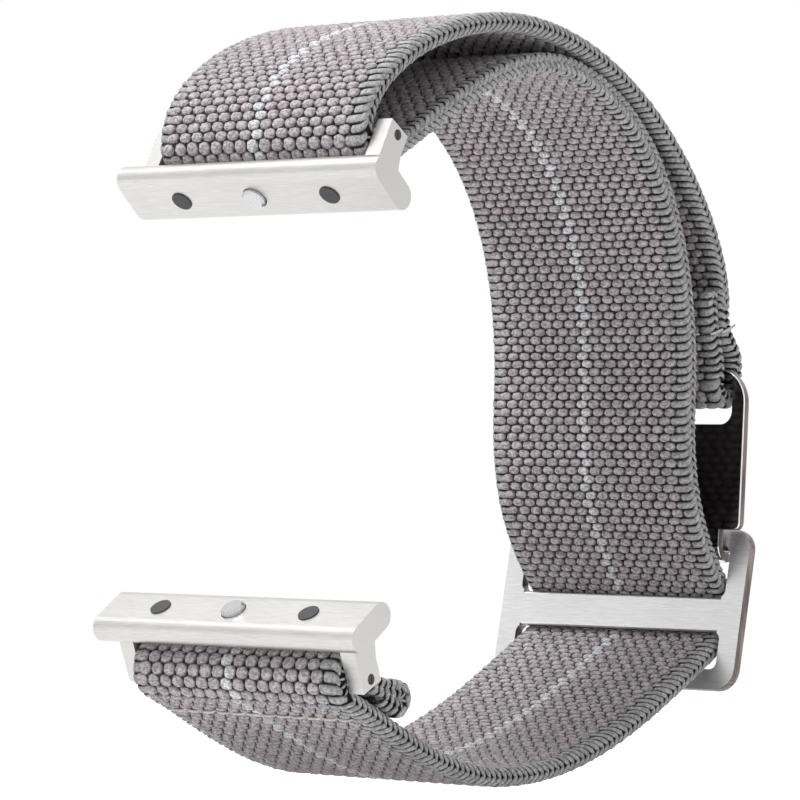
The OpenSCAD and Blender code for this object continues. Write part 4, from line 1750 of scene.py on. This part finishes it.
@dataclass
class Studio:
    """Plain pale floor, white surroundings and soft lamps."""

    ambient: float = 0.34
    floor_glow: float = 0.7
    table_glow: float = 0.38
    mirror_glow: float = 0.4
    floor_size: float = 3.0
    floor_gap: float = 0.0001
    floor_colour: Colour = (0.55, 0.55, 0.55)
    lamps: tuple[Lamp, ...] = (
        Lamp("key", (-0.15, -0.3, 0.7), 0.4, 5.8),
        Lamp("side", (0.62, -0.20, 0.25), 0.4, 0.2),
        Lamp("back", (0.10, 0.55, 0.5), 0.5, 0.4),
    )

    def build(self, lowest: float) -> None:
        """Makes the floor, the world and the lamps.

        Args:
            lowest: Height of the strap's lowest point, in metres.
        """
        self.world()
        mesh = bpy.data.meshes.new("floor")
        half, floor_z = self.floor_size / 2, lowest - self.floor_gap
        corners = [(x * half, y * half, floor_z) for x, y in ((-1, -1), (1, -1), (1, 1), (-1, 1))]
        mesh.from_pydata(corners, [], [[0, 1, 2, 3]])
        mesh.materials.append(self.floor_material())
        link("floor", mesh)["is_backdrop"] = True
        for lamp in self.lamps:
            lamp.build()

    def world(self) -> None:
        """Makes the surroundings: white where the camera or a reflection sees them."""
        world = bpy.data.worlds.new("studio")
        bpy.context.scene.world = world
        world.use_nodes = True
        graph = Graph(world.node_tree)
        graph.tree.nodes.clear()
        glow = self.seen(graph, 1 - self.ambient, 1 - self.ambient) + self.ambient
        light = graph.node("ShaderNodeBackground", {}, {0: (1.0, 1.0, 1.0, 1.0), 1: glow})
        graph.node("ShaderNodeOutputWorld", {}, {0: light.outputs[0]})

    @staticmethod
    def seen(graph: Graph, straight: float, mirrored: float) -> Value:
        """Gives what is added for rays that the camera sends, and 0 for the light on the strap.

        Args:
            graph: The tree.
            straight: What straight rays get.
            mirrored: What rays get that come by way of a mirror or a clear thing.

        Returns:
            The number for each ray.
        """
        rays = graph.node("ShaderNodeLightPath").outputs
        mirror = Value(graph, rays["Is Glossy Ray"]).most(rays["Is Transmission Ray"])
        return (Value(graph, rays["Is Camera Ray"]) * straight).most(mirror * mirrored)

    def floor_material(self) -> bpy.types.Material:
        """Makes a pale floor that looks white where nothing shades it."""
        shader = Shader("pale_floor")
        matt = shader.node("ShaderNodeBsdfDiffuse", {}, {0: (*self.floor_colour, 1.0)})
        seen = self.seen(shader, self.floor_glow, self.mirror_glow)
        glow = shader.node("ShaderNodeEmission", {}, {0: (1.0, 1.0, 1.0, 1.0), 1: seen + self.table_glow})
        both = shader.node("ShaderNodeAddShader", {}, {0: matt.outputs[0], 1: glow.outputs[0]})
        shader.node("ShaderNodeOutputMaterial", {}, {"Surface": both.outputs[0]})
        return shader.material


def main() -> None:
    """Builds the scene: camera, studio, then the strap piece by piece."""
    logging.basicConfig(level=logging.INFO, format="%(message)s")
    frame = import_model()
    cad_box = [list(map(float, corner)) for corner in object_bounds()]
    bpy.context.scene.view_settings.view_transform = "Standard"
    StripCamera().build()
    Studio().build(cad_box[0][2])
    webbing = Webbing()
    webbing.dress(webbing.build())
    Stitching().build()
    MetalParts().build(frame)
    Springs().build()


if __name__ == "__main__":
    main()
